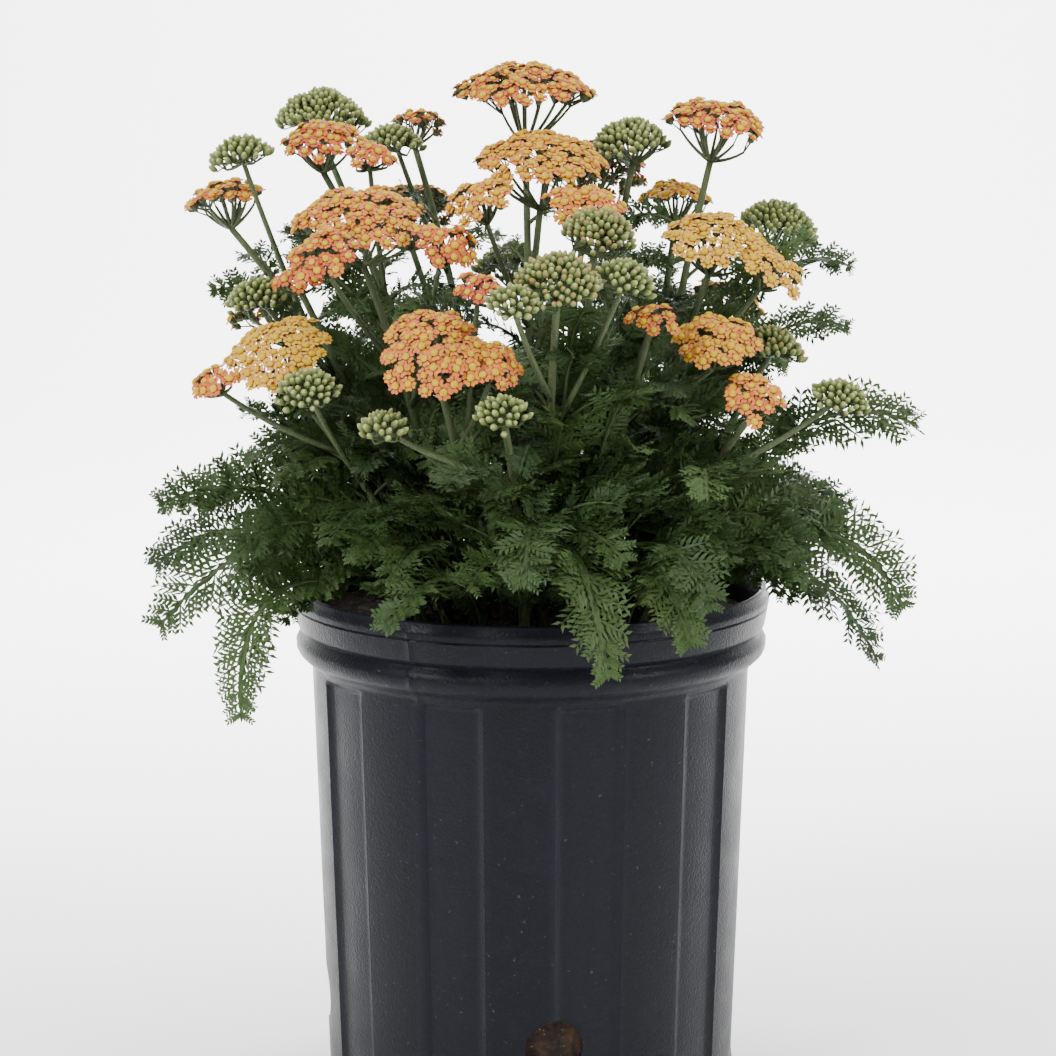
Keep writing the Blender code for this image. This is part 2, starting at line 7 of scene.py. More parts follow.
import bpy
import numpy as np
from bpy.props import FloatProperty, FloatVectorProperty, IntProperty, PointerProperty
from bpy.types import Operator, Panel, PropertyGroup
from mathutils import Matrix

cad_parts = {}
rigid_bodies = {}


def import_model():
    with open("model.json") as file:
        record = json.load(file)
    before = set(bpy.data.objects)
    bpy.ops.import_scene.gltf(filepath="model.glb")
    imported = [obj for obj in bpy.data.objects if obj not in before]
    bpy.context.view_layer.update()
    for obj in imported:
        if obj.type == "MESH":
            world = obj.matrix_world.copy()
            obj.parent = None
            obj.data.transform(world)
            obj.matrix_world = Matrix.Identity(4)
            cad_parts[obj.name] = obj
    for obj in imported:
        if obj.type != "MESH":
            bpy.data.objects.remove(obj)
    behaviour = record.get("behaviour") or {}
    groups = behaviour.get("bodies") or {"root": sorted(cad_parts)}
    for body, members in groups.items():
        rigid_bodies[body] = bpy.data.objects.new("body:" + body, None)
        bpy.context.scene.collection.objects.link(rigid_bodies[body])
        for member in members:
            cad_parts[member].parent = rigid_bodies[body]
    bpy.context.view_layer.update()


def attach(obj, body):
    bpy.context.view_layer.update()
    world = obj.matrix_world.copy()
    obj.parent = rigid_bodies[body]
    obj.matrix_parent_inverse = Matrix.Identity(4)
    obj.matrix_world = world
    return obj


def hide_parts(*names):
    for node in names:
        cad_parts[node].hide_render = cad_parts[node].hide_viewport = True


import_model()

bl_info = {
    "name": "Yarrow Plant",
    "version": (1, 0, 0),
    "blender": (4, 5, 0),
    "location": "3D View > Sidebar > Yarrow",
    "description": "Builds a potted yarrow plant with flower clusters, buds and feathery leaves",
    "category": "Add Mesh",
}

# Sizes are millimetres until a mesh is made, and +Z is up, -Y the front.
MM = 0.001
SEED = 11
GOLDEN_ANGLE = math.pi * (3 - math.sqrt(5))

# The camera's place in metres, how far it looks down, and its lens and frame in pixels of the photograph.
CAMERA_PLACE = (-0.0011, -1.0, 0.358)
CAMERA_DOWN = math.radians(9.3)
CAMERA_SLOPE = math.tan(CAMERA_DOWN)
FOCAL_PIXELS = 2928
FRAME_PIXELS = 1056
WORLD_STRENGTH = 0.38

# Each area light: place and target in metres, power in watts and size in metres.
LAMPS = {
    "key": ((-1.3, -1.2, 1.5), (0, 0, 0.2), 40, 0.7),
    "fill": ((1.5, -0.9, 1.2), (0, 0, 0.2), 24, 0.7),
    "top": ((0.1, 0.2, 2.2), (0, 0, 0.2), 24, 1.6),
    "back": ((0.2, 0.9, 1.7), (0, 2.4, 0.8), 260, 2.0),
}

# The studio floor in metres: its half width, its front edge, where it bends up, the bend and its top.
FLOOR_HALF_WIDTH = 4
FLOOR_FRONT = -3.0
FLOOR_BEND = 1.6
BEND_RADIUS = 1.2
FLOOR_TOPS = (2.6, 4.5)

# The panels and the mould line start at turns in degrees. The wall widens from its foot to its head.
PANELS = 20
PANEL_TURN = 102
MOULD_LINE = 241
FOOT_RADIUS = 71.2
HEAD_RADIUS = 75.8
TAPERED_HEIGHT = 140
RIM_RADIUS = 82.5
POT_HEIGHT = 175.5
FLUTE_DEPTH = 1.7
FLOOR_THICKNESS = 2.4
DRAIN_RADIUS = 9.7
DRAIN_HEIGHT = 31.0
FIRST_DRAIN = math.radians(-84)
DRAINS = 4

# The pot's outline as (height, radius): below the fluted wall, then above it and down the inside.
POT_FOOT = ((0, 66.0), (0.3, 68.0), (1.2, 69.6), (2.8, 70.8))
POT_SHOULDER = ((148.6, 76.2), (150.2, 77.4), (151.4, 79.2))
POT_BEAD = ((152.8, 80.6), (154.6, 81.4), (156.8, 81.5), (158.4, 80.7))
POT_GROOVE = ((159.4, 79.6), (160.2, 79.1), (160.9, 79.4), (161.6, 80.5))
POT_BAND = ((162.6, 81.0), (166, 81.6), (168.8, 82.1), (169.3, 81.75), (169.8, 82.3), (171.2, RIM_RADIUS))
POT_LIP = ((172.2, 82.4), (173, 81.8), (174, 81.5), (175, 81.2))
POT_TOP = ((POT_HEIGHT, 80.4), (175.2, 79.6), (174, 79.0))
POT_INSIDE = ((168, 78.2), (160, 77.6), (148, 73.6), (100, 71.5), (50, 69.6), (FLOOR_THICKNESS, 67.6))

SOIL_TOP = 165.0
SOIL_BOTTOM = 2.7
SOIL_DRAWS = 40
STEM_FOOT = 148.0
STEM_RADIUS = 1.75
STEM_TIP_RADIUS = 1.15
CORE_THICKNESS = 3.0
DOME = 0.26
SMALL_CLUSTER = 9.5
BARE_STALK = 0.2

# Each open cluster: centre of its dome, radius, lean of its axis to +X and +Y, and colour.
OPEN_HEADS = {
    "a": ((-2, 24, 345), 25.5, (0.0, -0.05), "orange"),
    "b": ((64, 16, 334), 18.5, (0.15, -0.15), "salmon"),
    "c_crown": ((3, -8, 322), 23, (0.0, -0.25), "gold"),
    "c_left": ((-17, -33, 309), 12, (-0.3, -0.5), "gold"),
    "c_right": ((18, -33, 307), 14, (0.2, -0.6), "peach"),
    "d": ((-73, 16, 327), 15, (-0.1, -0.3), "salmon"),
    "d_side": ((-55, 6, 321), 9, (0.3, -0.4), "salmon"),
    "e": ((-41, 62, 332), 11, (0.1, 0.2), "salmon"),
    "f": ((-106, 12, 308), 14.5, (-0.25, 0.0), "orange"),
    "h_crown": ((-57, -25, 304), 23, (-0.05, -0.3), "peach"),
    "h_left": ((-67, -52, 293), 12.5, (-0.2, -0.6), "salmon"),
    "h_right": ((-28, -43, 295), 11.5, (0.3, -0.6), "salmon"),
    "i": ((-78, -24, 281), 8, (-0.2, -0.5), "salmon"),
    "j": ((-84, -42, 260), 18, (-0.3, -0.7), "yellow"),
    "j_side": ((-104, -46, 249), 8.5, (-0.7, -0.7), "orange"),
    "k": ((-31, -78, 264), 18, (-0.1, -1.0), "peach"),
    "k_side": ((-11, -78, 259), 9.8, (0.4, -0.9), "peach"),
    "k_top": ((-17, -66, 281), 8.5, (0.1, -0.7), "salmon"),
    "l": ((61, -18, 296), 18, (0.1, -0.4), "yellow"),
    "l_side": ((81, -24, 286), 12, (0.6, -0.5), "yellow"),
    "m": ((51, 38, 307), 14, (0.0, 0.0), "gold"),
    "n": ((39, -56, 271), 8, (0.0, -0.7), "peach"),
    "o": ((60, -46, 264), 14.5, (0.0, -0.6), "gold"),
    "p": ((72, -60, 247), 11, (0.1, -0.7), "peach"),
    "back_left": ((-46, 74, 300), 20, (-0.2, 0.5), "peach"),
    "back_right": ((22, 70, 316), 21, (0.1, 0.5), "orange"),
    "back_low": ((72, 62, 268), 15, (0.5, 0.5), "gold"),
    "back_side": ((-96, 44, 268), 14, (-0.5, 0.4), "yellow"),
}

# Clusters that touch a larger one and share its solid.
SHARED_HEADS = {"h_left": "h_crown", "j_side": "j", "k_side": "k", "l_side": "l"}

# Each closed bud cluster: centre, radius and lean of its axis to +X and +Y.
BUD_HEADS = {
    "buds_a": ((-74, 48, 337), 15, (0.0, 0.0)),
    "buds_b": ((-98, -6, 323), 9, (-0.2, 0.0)),
    "buds_c": ((-48, 36, 326), 8.5, (0.1, 0.0)),
    "buds_f": ((-92, -16, 276), 9, (-0.2, -0.2)),
    "buds_g": ((-72, -66, 250), 8.5, (-0.1, -0.5)),
    "buds_h": ((-47, -78, 239), 6, (-0.1, -0.4)),
    "buds_i": ((-6, -95, 280), 6.5, (0.0, -0.6)),
    "buds_j": ((8, -84, 288), 12.5, (0.0, -0.5)),
    "buds_k": ((22, -56, 301), 11, (0.2, -0.2)),
    "buds_l": ((30, -74, 286), 8, (0.4, -0.3)),
    "buds_m": ((-9, -90, 245), 7, (0.0, -0.5)),
    "buds_n": ((34, 18, 328), 12, (-0.1, -0.1)),
    "buds_o": ((89, 46, 298), 13, (0.3, 0.0)),
    "buds_p": ((84, 0, 258), 9.5, (0.2, -0.1)),
    "buds_q": ((103, -30, 243), 8.5, (0.3, -0.3)),
    "buds_back": ((-8, 88, 280), 12, (0.0, 0.5)),
}
RED_BUDS = ("buds_j", "buds_k", "buds_p")
CLUSTERS = {**OPEN_HEADS, **BUD_HEADS}

# Each leafy stem: its foot on the soil and the clusters that its fork carries.
STEMS = {
    "stem_a": ((0, 16), ("a",)),
    "stem_b": ((36, 6), ("b",)),
    "stem_c": ((-4, -14), ("c_crown", "c_left", "c_right")),
    "stem_d": ((-24, 14), ("d", "d_side")),
    "stem_e": ((-14, 30), ("e", "buds_c")),
    "stem_f": ((-40, 10), ("f", "buds_b")),
    "stem_h": ((-28, -10), ("h_crown", "h_left", "h_right")),
    "stem_i": ((-42, -8), ("i", "buds_f")),
    "stem_j": ((-38, -26), ("j", "j_side", "buds_g")),
    "stem_k": ((-16, -36), ("k", "k_side", "k_top")),
    "stem_l": ((32, -8), ("l", "l_side")),
    "stem_m": ((34, 26), ("m", "buds_o")),
    "stem_n": ((20, -30), ("n", "o")),
    "stem_p": ((38, -28), ("p", "buds_q")),
    "stem_r": ((46, -4), ("buds_p",)),
    "stem_t": ((-32, 34), ("buds_a",)),
    "stem_u": ((16, 6), ("buds_n",)),
    "stem_v": ((4, -40), ("buds_j", "buds_i", "buds_l")),
    "stem_w": ((-2, -52), ("buds_m", "buds_h")),
    "stem_x": ((-18, 46), ("back_left",)),
    "stem_y": ((8, 44), ("back_right", "buds_back")),
    "stem_z": ((34, 42), ("back_low",)),
    "stem_s": ((-48, 22), ("back_side",)),
    "stem_o": ((12, -16), ("buds_k",)),
}

# The fronds that draw the outline: root, the point that they arch toward, tip and half width.
LONG_FRONDS = (
    ((-38, -26, 190), (-84, -44, 216), (-124, -42, 168), 14),
    ((-40, -24, 172), (-100, -50, 204), (-96, -52, 139), 12),
    ((-40, 10, 178), (-92, -6, 222), (-126, -16, 205), 11),
    ((-38, -26, 176), (-96, -22, 214), (-126, -28, 186), 12),
    ((-66, -8, 258), (-88, -4, 282), (-108, -8, 277), 7),
    ((38, -28, 196), (92, -26, 252), (129, -20, 233), 12),
    ((34, 26, 240), (84, 26, 296), (111, 20, 283), 8),
    ((34, 10, 226), (84, 8, 274), (109, 8, 263), 8),
    ((38, -28, 176), (102, -22, 222), (127, -18, 170), 13),
    ((38, -28, 170), (88, -50, 214), (115, -44, 157), 12),
    ((2, -40, 176), (12, -92, 232), (24, -98, 163), 13),
    ((-16, -36, 172), (-26, -84, 206), (-46, -96, 178), 11),
    ((20, -30, 172), (40, -84, 214), (50, -92, 172), 11),
)

# The stems that share a solid because their leaves or arms cross.
SHARED_STEMS = (
    ("stem_a", "stem_e", "stem_t"),
    ("stem_b", "stem_l", "stem_n", "stem_p", "stem_r"),
    ("stem_c", "stem_o"),
    ("stem_d", "stem_f"),
    ("stem_h",),
    ("stem_i", "stem_j"),
    ("stem_k", "stem_v", "stem_w"),
    ("stem_m", "stem_u"),
    ("stem_s",),
    ("stem_x",),
    ("stem_y",),
    ("stem_z",),
)

BASAL_FRONDS = 8
STEM_LEAF_HEIGHTS = (0.5, 0.72)
LEAF_TRIES = 7
UNDERGROWTH_GROUPS = 5
LOBE_PLACES = (0.09, 0.29, 0.49, 0.69, 0.9)


class PlantSizes(PropertyGroup):
    """The sizes that set how fine the plant looks."""

    floret_pitch: FloatProperty(
        name="Floret pitch", description="Distance between florets", default=0.00405, subtype="DISTANCE"
    )
    floret_radius: FloatProperty(
        name="Floret radius", description="Reach of a floret's petals", default=0.0027, subtype="DISTANCE"
    )
    bud_pitch: FloatProperty(
        name="Bud pitch", description="Distance between closed buds", default=0.00197, subtype="DISTANCE"
    )
    pinna_pitch: FloatProperty(
        name="Leaflet pitch",
        description="Distance between a leaf's leaflets",
        default=0.0037,
        subtype="DISTANCE",
    )
    petals: IntProperty(name="Petals", description="Petals round each floret", default=5, min=3, max=8)
    extra_fronds: IntProperty(
        name="Undergrowth", description="Leaves added between the stems", default=180, min=0, max=300
    )
    rim_fronds: IntProperty(
        name="Rim leaves", description="Short leaves along the front of the soil", default=20, min=0, max=40
    )
    stem_leaves: IntProperty(
        name="Stem leaves", description="Small leaves added along each stem", default=8, min=0, max=16
    )
    pot_columns: IntProperty(
        name="Pot columns", description="Steps round the pot", default=360, min=80, max=720
    )


class PlantColours(PropertyGroup):
    """The colours of the plant and its pot."""

    pot: FloatVectorProperty(
        name="Pot",
        description="Plastic",
        default=(0.0062, 0.0070, 0.0105),
        subtype="COLOR",
        min=0,
        max=1,
    )
    soil: FloatVectorProperty(
        name="Soil",
        description="Potting mix",
        default=(0.026, 0.014, 0.008),
        subtype="COLOR",
        min=0,
        max=1,
    )
    leaf_dark: FloatVectorProperty(
        name="Leaf shade",
        description="Older leaves",
        default=(0.014, 0.036, 0.008),
        subtype="COLOR",
        min=0,
        max=1,
    )
    leaf_light: FloatVectorProperty(
        name="Leaf light",
        description="Younger leaves",
        default=(0.064, 0.112, 0.030),
        subtype="COLOR",
        min=0,
        max=1,
    )
    stem: FloatVectorProperty(
        name="Stem",
        description="Stems and branches",
        default=(0.088, 0.122, 0.042),
        subtype="COLOR",
        min=0,
        max=1,
    )
    bud: FloatVectorProperty(
        name="Bud",
        description="Closed buds",
        default=(0.19, 0.24, 0.065),
        subtype="COLOR",
        min=0,
        max=1,
    )


class Socket:
    """A shader value that Python's operators turn into Math nodes."""

    def __init__(self, tree, socket):
        self.tree, self.socket = tree, socket

    def math(self, operation, *others):
        """The value that a Math node of that operation gives."""
        node = self.tree.nodes.new("ShaderNodeMath")
        node.operation = operation
        for index, value in enumerate((self, *others)):
            if isinstance(value, Socket):
                self.tree.links.new(value.socket, node.inputs[index])
            else:
                node.inputs[index].default_value = value
        return Socket(self.tree, node.outputs[0])

    def __add__(self, other):
        return self.math("ADD", other)

    def __mul__(self, other):
        return self.math("MULTIPLY", other)

    def __sub__(self, other):
        return self.math("SUBTRACT", other)

    def __rsub__(self, other):
        return (self * -1.0) + other

    __radd__ = __add__

    def clamped(self):
        """The value kept between 0 and 1."""
        return self.math("MINIMUM", 1.0).math("MAXIMUM", 0.0)


class Finish:
    """A material under construction: its node tree and its Principled shader."""

    def __init__(self, name):
        self.material = bpy.data.materials.new(name)
        self.material.use_nodes = True
        self.tree = self.material.node_tree
        self.shader = self.tree.nodes["Principled BSDF"]

    def node(self, kind, settings=(), output=0, **inputs):
        """Adds a node of that type, sets it, then gives its sockets values or links."""
        made = self.tree.nodes.new(kind)
        for key, value in dict(settings).items():
            if key == "stops":
                ramp = made.color_ramp
                while len(ramp.elements) < len(value):
                    ramp.elements.new(0.5)
                for element, (place, colour) in zip(ramp.elements, value):
                    element.position = place
                    element.color = (*colour, 1) if len(colour) == 3 else colour
            else:
                setattr(made, key, value)
        for key, value in inputs.items():
            numbered = key[0] == "i" and key[1:].isdigit()
            self.put(made.inputs[int(key[1:]) if numbered else key], value)
        return Socket(self.tree, made.outputs[output])

    def put(self, target, value):
        """Links a shader value to a socket, or sets the socket to a constant."""
        if isinstance(value, Socket):
            self.tree.links.new(value.socket, target)
        elif isinstance(value, tuple) and len(value) == 3 and target.type == "RGBA":
            target.default_value = (*value, 1)
        else:
            target.default_value = value

    def position(self):
        """The point on the object, in metres."""
        return self.node("ShaderNodeTexCoord", output=3)

    def noise(self, scale, detail=3.0, rough=0.5, at=None):
        """Fractal noise from 0 to 1 at the point."""
        at = at or self.position()
        return self.node("ShaderNodeTexNoise", Vector=at, Scale=scale, Detail=detail, Roughness=rough)

    def attribute(self, name):
        """A value stored on the mesh's vertices."""
        return self.node("ShaderNodeAttribute", {"attribute_name": name}, output=2)

    def blend(self, share, first, second, mode="MIX"):
        """The first colour, turned into the second by the share."""
        settings = {"data_type": "RGBA", "blend_type": mode}
        return self.node("ShaderNodeMix", settings, output=2, i0=share, i6=first, i7=second)

    def bump(self, height, distance, strength=1.0):
        """A normal tilted by the height."""
        return self.node("ShaderNodeBump", Height=height, Distance=distance, Strength=strength)

    def set(self, **values):
        """Gives the shader's sockets their values, and returns the material."""
        for key, value in values.items():
            self.put(self.shader.inputs[key.replace("_", " ")], value)
        return self.material


def pot_finish(colours):
    """Semi-matt black plastic with fine grain, faint drag marks and pale dust, and a painted highlight on the
    flute edges and recessed panels.
    """
    made = Finish("black_plastic_fine")
    grain, dust = made.noise(1100.0, 2.0), made.noise(55.0, 6.0, 0.65)
    upright = made.node("ShaderNodeMapping", Vector=made.position(), Scale=(140, 140, 9))
    drag = made.noise(1.0, 4.0, 0.6, upright)
    specks = (made.noise(620.0, 1.0) - 0.73).math("MULTIPLY", 14.0).clamped()
    pot = tuple(colours.pot)
    pale = tuple(0.8 * channel + 0.02 for channel in pot)
    dusty = made.blend(((dust - 0.5) * 1.2 + (drag - 0.5) * 0.7).clamped(), pot, tuple(1.9 * c for c in pot))
    colour = made.blend(specks * 0.4, dusty, (0.10, 0.095, 0.09))
    colour = made.blend((grain - 0.5).clamped() * 0.7, colour, pale)
    edge = made.attribute("edge")
    # Painted highlight: the edge attribute makes the recessed panels and each flute edge paler, standing in
    # for side light on the flutes.
    colour = made.blend(edge.clamped() * 0.5, colour, tuple(2.4 * c for c in pot))
    rough = (0.36 + (dust - 0.5) * 0.35 + (drag - 0.5) * 0.16 + specks * 0.3).clamped()
    height = grain + drag * 0.3
    made.set(Specular_IOR_Level=0.13)
    return made.set(Base_Color=colour, Roughness=rough, Normal=made.bump(height, 0.0003, 0.8))


def soil_finish(colours):
    """Dark peat with lighter bark flecks and pale grains."""
    made = Finish("potting_mix_fine")
    coarse, fine = made.noise(160.0, 8.0, 0.7), made.noise(900.0, 4.0)
    soil = tuple(colours.soil)
    colour = made.blend(((coarse - 0.42) * 3.0).clamped(), tuple(0.4 * c for c in soil), (0.085, 0.042, 0.02))
    colour = made.blend(((fine - 0.66) * 9.0).clamped(), colour, (0.30, 0.20, 0.12))
    return made.set(Base_Color=colour, Roughness=0.95, Normal=made.bump(coarse + fine * 0.5, 0.0012))


def leaf_finish(colours):
    """Dark feathery green that lightens toward young leaves and leaflet tips."""
    made = Finish("leaf_green_fine")
    shade, edge = made.attribute("tint"), made.attribute("edge")
    mottle = made.noise(240.0, 4.0)
    share = (shade * 0.75 + edge * 0.35 + (mottle - 0.5) * 0.5).clamped()
    colour = made.blend(share, tuple(colours.leaf_dark), tuple(colours.leaf_light))
    rough = 0.52 + (mottle - 0.5) * 0.3
    made.set(Specular_IOR_Level=0.25)
    return made.set(Base_Color=colour, Roughness=rough, Normal=made.bump(made.noise(1500.0), 0.0001, 0.4))


def stem_finish(colours):
    """Ribbed grey-green stems with pale downy flecks."""
    made = Finish("stem_green_fine")
    stretched = made.node("ShaderNodeMapping", Vector=made.position(), Scale=(900, 900, 60))
    ribs, down = made.noise(1.0, 2.0, 0.5, stretched), made.noise(2600.0, 2.0)
    stem = tuple(colours.stem)
    colour = made.blend((ribs - 0.2).clamped(), tuple(0.55 * c for c in stem), tuple(1.25 * c for c in stem))
    colour = made.blend(((down - 0.62) * 4.0).clamped(), colour, (0.34, 0.40, 0.27))
    return made.set(Base_Color=colour, Roughness=0.68, Normal=made.bump(ribs + down * 0.4, 0.00025, 0.7))


def bud_finish(colours):
    """Scaly green buds, dark at the foot and pale at the tip, some tipped red."""
    made = Finish("bud_green_fine")
    edge, tint = made.attribute("edge"), made.attribute("tint")
    bud = tuple(colours.bud)
    colour = made.blend(edge, tuple(0.38 * c for c in bud), tuple(min(1.0, 1.35 * c) for c in bud))
    pale = made.blend((tint - 1.0).clamped(), (0.52, 0.50, 0.22), (0.62, 0.17, 0.07))
    colour = made.blend(((edge - 0.8) * 5.0).clamped(), colour, pale)
    scales = made.noise(1300.0, 2.0)
    colour = made.blend((scales - 0.45).clamped(), colour, tuple(0.5 * c for c in bud))
    return made.set(Base_Color=colour, Roughness=0.62, Normal=made.bump(scales, 0.00025, 0.6))


PETAL_COLOURS = {
    "salmon": ((0.68, 0.20, 0.015), (0.60, 0.085, 0.028)),
    "peach": ((0.74, 0.27, 0.016), (0.70, 0.165, 0.045)),
    "orange": ((0.70, 0.24, 0.012), (0.62, 0.11, 0.026)),
    "gold": ((0.75, 0.36, 0.016), (0.72, 0.23, 0.040)),
    "yellow": ((0.78, 0.46, 0.022), (0.76, 0.36, 0.055)),
}


def petal_finish(name):
    """Petals warm yellow at the base and pinker toward the edge, each floret a little different, with painted
    shade darkening each petal's innermost part and underside for the shadowed gaps between florets.
    """
    made = Finish(name + "_petals_fine")
    edge, tint = made.attribute("edge"), made.attribute("tint")
    base, rim = PETAL_COLOURS[name]
    veins = made.noise(1800.0, 3.0)
    share = (edge * 0.85 + (tint - 0.5) * 1.1 + (veins - 0.5) * 0.35).clamped()
    colour = made.blend(share, base, rim)
    colour = made.blend(((edge - 0.9) * 5.0).clamped() * 0.35, colour, (0.42, 0.08, 0.07))
    # Painted shade: petals turn dark brown near their base and on their underside, standing in for shadow in
    # the gaps between florets.
    colour = made.blend(((0.62 - edge) * 5.0).clamped() * 0.85, colour, (0.15, 0.045, 0.008))
    return made.set(Base_Color=colour, Roughness=0.6, Normal=made.bump(veins, 0.00015, 0.5))


def disc_finish():
    """Golden discs with tiny anthers."""
    made = Finish("disc_gold_fine")
    grains = made.noise(2400.0, 2.0)
    colour = made.blend(((grains - 0.35) * 2.5).clamped(), (0.62, 0.36, 0.006), (0.92, 0.62, 0.015))
    return made.set(Base_Color=colour, Roughness=0.7, Normal=made.bump(grains, 0.0004))


def floor_finish():
    """A white studio floor, faintly clouded and faintly lit from within."""
    made = Finish("studio_floor")
    cloud = made.noise(1.5, 2.0)
    made.set(Emission_Color=(1.0, 1.0, 1.0), Emission_Strength=0.3)
    return made.set(Base_Color=made.blend(cloud, (0.93, 0.93, 0.93), (0.95, 0.95, 0.95)), Roughness=0.9)


def unit(vectors):
    """Vectors divided by their lengths."""
    vectors = np.asarray(vectors, float)
    return vectors / np.linalg.norm(vectors, axis=-1, keepdims=True)


def bezier(start, middle, end, shares):
    """start(1-t)^2 + 2 middle t(1-t) + end t^2, for each share t or for that many even ones."""
    t = np.linspace(0, 1, shares)[:, None] if isinstance(shares, int) else np.asarray(shares)[:, None]
    start, middle, end = (np.asarray(point, float) for point in (start, middle, end))
    return start * (1 - t) ** 2 + middle * 2 * t * (1 - t) + end * t**2


def axis_of(lean):
    """The upright direction, leaned to +X and +Y by the two shares."""
    return unit((lean[0], lean[1], 1))


def facing(turn):
    """The level direction at a turn about the upright axis."""
    return np.array((math.cos(turn), math.sin(turn), 0))


def frames_of(axes):
    """Two directions square to each axis and to each other."""
    across = unit(np.cross(axes, (0.12, 1, 0.07)))
    return across, np.cross(axes, across)


def dome_points(centre, axis, radius, across_by, along_by, lift):
    """Points on a dome that falls with the square of the distance from its axis, and its directions there."""
    across, along = frames_of(axis)
    spread = across_by[:, None] * across + along_by[:, None] * along
    fall = (across_by**2 + along_by**2) / radius**2
    normals = unit(axis + 2 * DOME / radius * spread)
    return centre + spread + (DOME * radius * (1 - fall))[:, None] * axis + lift * normals, normals


class Shape:
    """Vertices, triangles, material numbers and the two shading attributes of a growing mesh."""

    def __init__(self):
        self.parts = []
        self.count = 0

    def add(self, points, triangles, material=0, tint=0.5, edge=0.0):
        """Adds vertices and triangles, whose numbers start again at 0."""
        points = np.asarray(points, float).reshape(-1, 3)
        triangles = np.asarray(triangles, int).reshape(-1, 3)
        self.parts.append(
            (
                points,
                triangles + self.count,
                np.full(len(triangles), material),
                np.broadcast_to(tint, len(points)),
                np.broadcast_to(edge, len(points)),
            )
        )
        self.count += len(points)

    def build(self, name, materials, crisp=()):
        """The mesh object in metres, with its attributes tint and edge; crisp materials get flat facets."""
        points, triangles, numbers, tints, edges = (np.concatenate(column) for column in zip(*self.parts))
        mesh = bpy.data.meshes.new(name)
        mesh.vertices.add(len(points))
        mesh.vertices.foreach_set("co", (points * MM).astype(np.float32).ravel())
        mesh.loops.add(triangles.size)
        mesh.loops.foreach_set("vertex_index", triangles.astype(np.int32).ravel())
        mesh.polygons.add(len(triangles))
        mesh.polygons.foreach_set("loop_start", np.arange(0, triangles.size, 3, dtype=np.int32))
        mesh.update(calc_edges=True)
        for material in materials:
            mesh.materials.append(material)
        mesh.polygons.foreach_set("material_index", numbers.astype(np.int32))
        mesh.polygons.foreach_set("use_smooth", ~np.isin(numbers, crisp))
        for title, values in (("tint", tints), ("edge", edges)):
            mesh.attributes.new(title, "FLOAT", "POINT").data.foreach_set("value", values.astype(np.float32))
        made = bpy.data.objects.new(name, mesh)
        bpy.context.scene.collection.objects.link(made)
        return made


def grid_triangles(rows, columns, closed=True):
    """Two triangles for each cell of a grid whose columns may run round."""
    steps = columns if closed else columns - 1
    row, column = np.meshgrid(np.arange(rows - 1), np.arange(steps), indexing="ij")
    a, b = row * columns + column, row * columns + (column + 1) % columns
    c, d = a + columns, b + columns
    return np.stack([np.stack([a, b, d], -1), np.stack([a, d, c], -1)], 2).reshape(-1, 3)


def turned(radii, heights, turn):
    """Rows of rings: each radius carried round the upright axis, at its height."""
    x, y = radii * np.cos(turn), radii * np.sin(turn)
    return np.stack([x, y, np.broadcast_to(heights, x.shape)], -1)


def closed_rings(rings, low, high):
    """Rows of rings joined by triangles and closed by a fan to a point at each end."""
    rows, columns = rings.shape[:2]
    first = np.arange(columns)
    last, pole = (rows - 1) * columns + first, np.full(columns, rows * columns)
    below = np.stack([pole, np.roll(first, -1), first], -1)
    above = np.stack([pole + 1, last, np.roll(last, -1)], -1)
    triangles = np.concatenate([grid_triangles(rows, columns), below, above])
    return np.vstack([rings.reshape(-1, 3), low, high]), triangles


def tube(path, radii, sides):
    """A circle of the given radius carried along the path, closed by a fan at each end."""
    path = np.asarray(path, float)
    tangents = unit(np.gradient(path, axis=0))
    across, along = frames_of(tangents)
    turn = 2 * np.pi * np.arange(sides) / sides
    cos, sin = np.cos(turn)[None, :, None], np.sin(turn)[None, :, None]
    ring = cos * across[:, None] + sin * along[:, None]
    points = path[:, None] + np.asarray(radii, float)[:, None, None] * ring
    return closed_rings(points, path[0], path[-1])


def blades(starts, ends, widths, normals, fold=0.5, widest=0.55):
    """Folded leaf lobes: four corners, the middle two set out to the sides and lifted along the normal."""
    side = unit(np.cross(ends - starts, normals)) * widths[:, None]
    middle = starts + widest * (ends - starts) + unit(normals) * widths[:, None] * fold
    points = np.stack([starts, middle - side, middle + side, ends], 1)
    corners = np.array([(0, 1, 2), (3, 2, 1), (0, 3, 1), (0, 2, 3)])
    triangles = corners[None] + 4 * np.arange(len(starts))[:, None, None]
    return points.reshape(-1, 3), triangles.reshape(-1, 3)


def copies(template, places, axes, turns, scales):
    """A template's points turned about each axis, scaled and moved to each place."""
    points, triangles = template
    across, along = frames_of(axes)
    cos, sin = np.cos(turns)[:, None], np.sin(turns)[:, None]
    first, second = cos * across + sin * along, cos * along - sin * across
    moved = np.einsum("vi,nij->nvj", points, np.stack([first, second, axes], 1)) * scales[:, None, None]
    moved = moved + places[:, None]
    triangles = triangles[None] + len(points) * np.arange(len(places))[:, None, None]
    return moved.reshape(-1, 3), triangles.reshape(-1, 3)


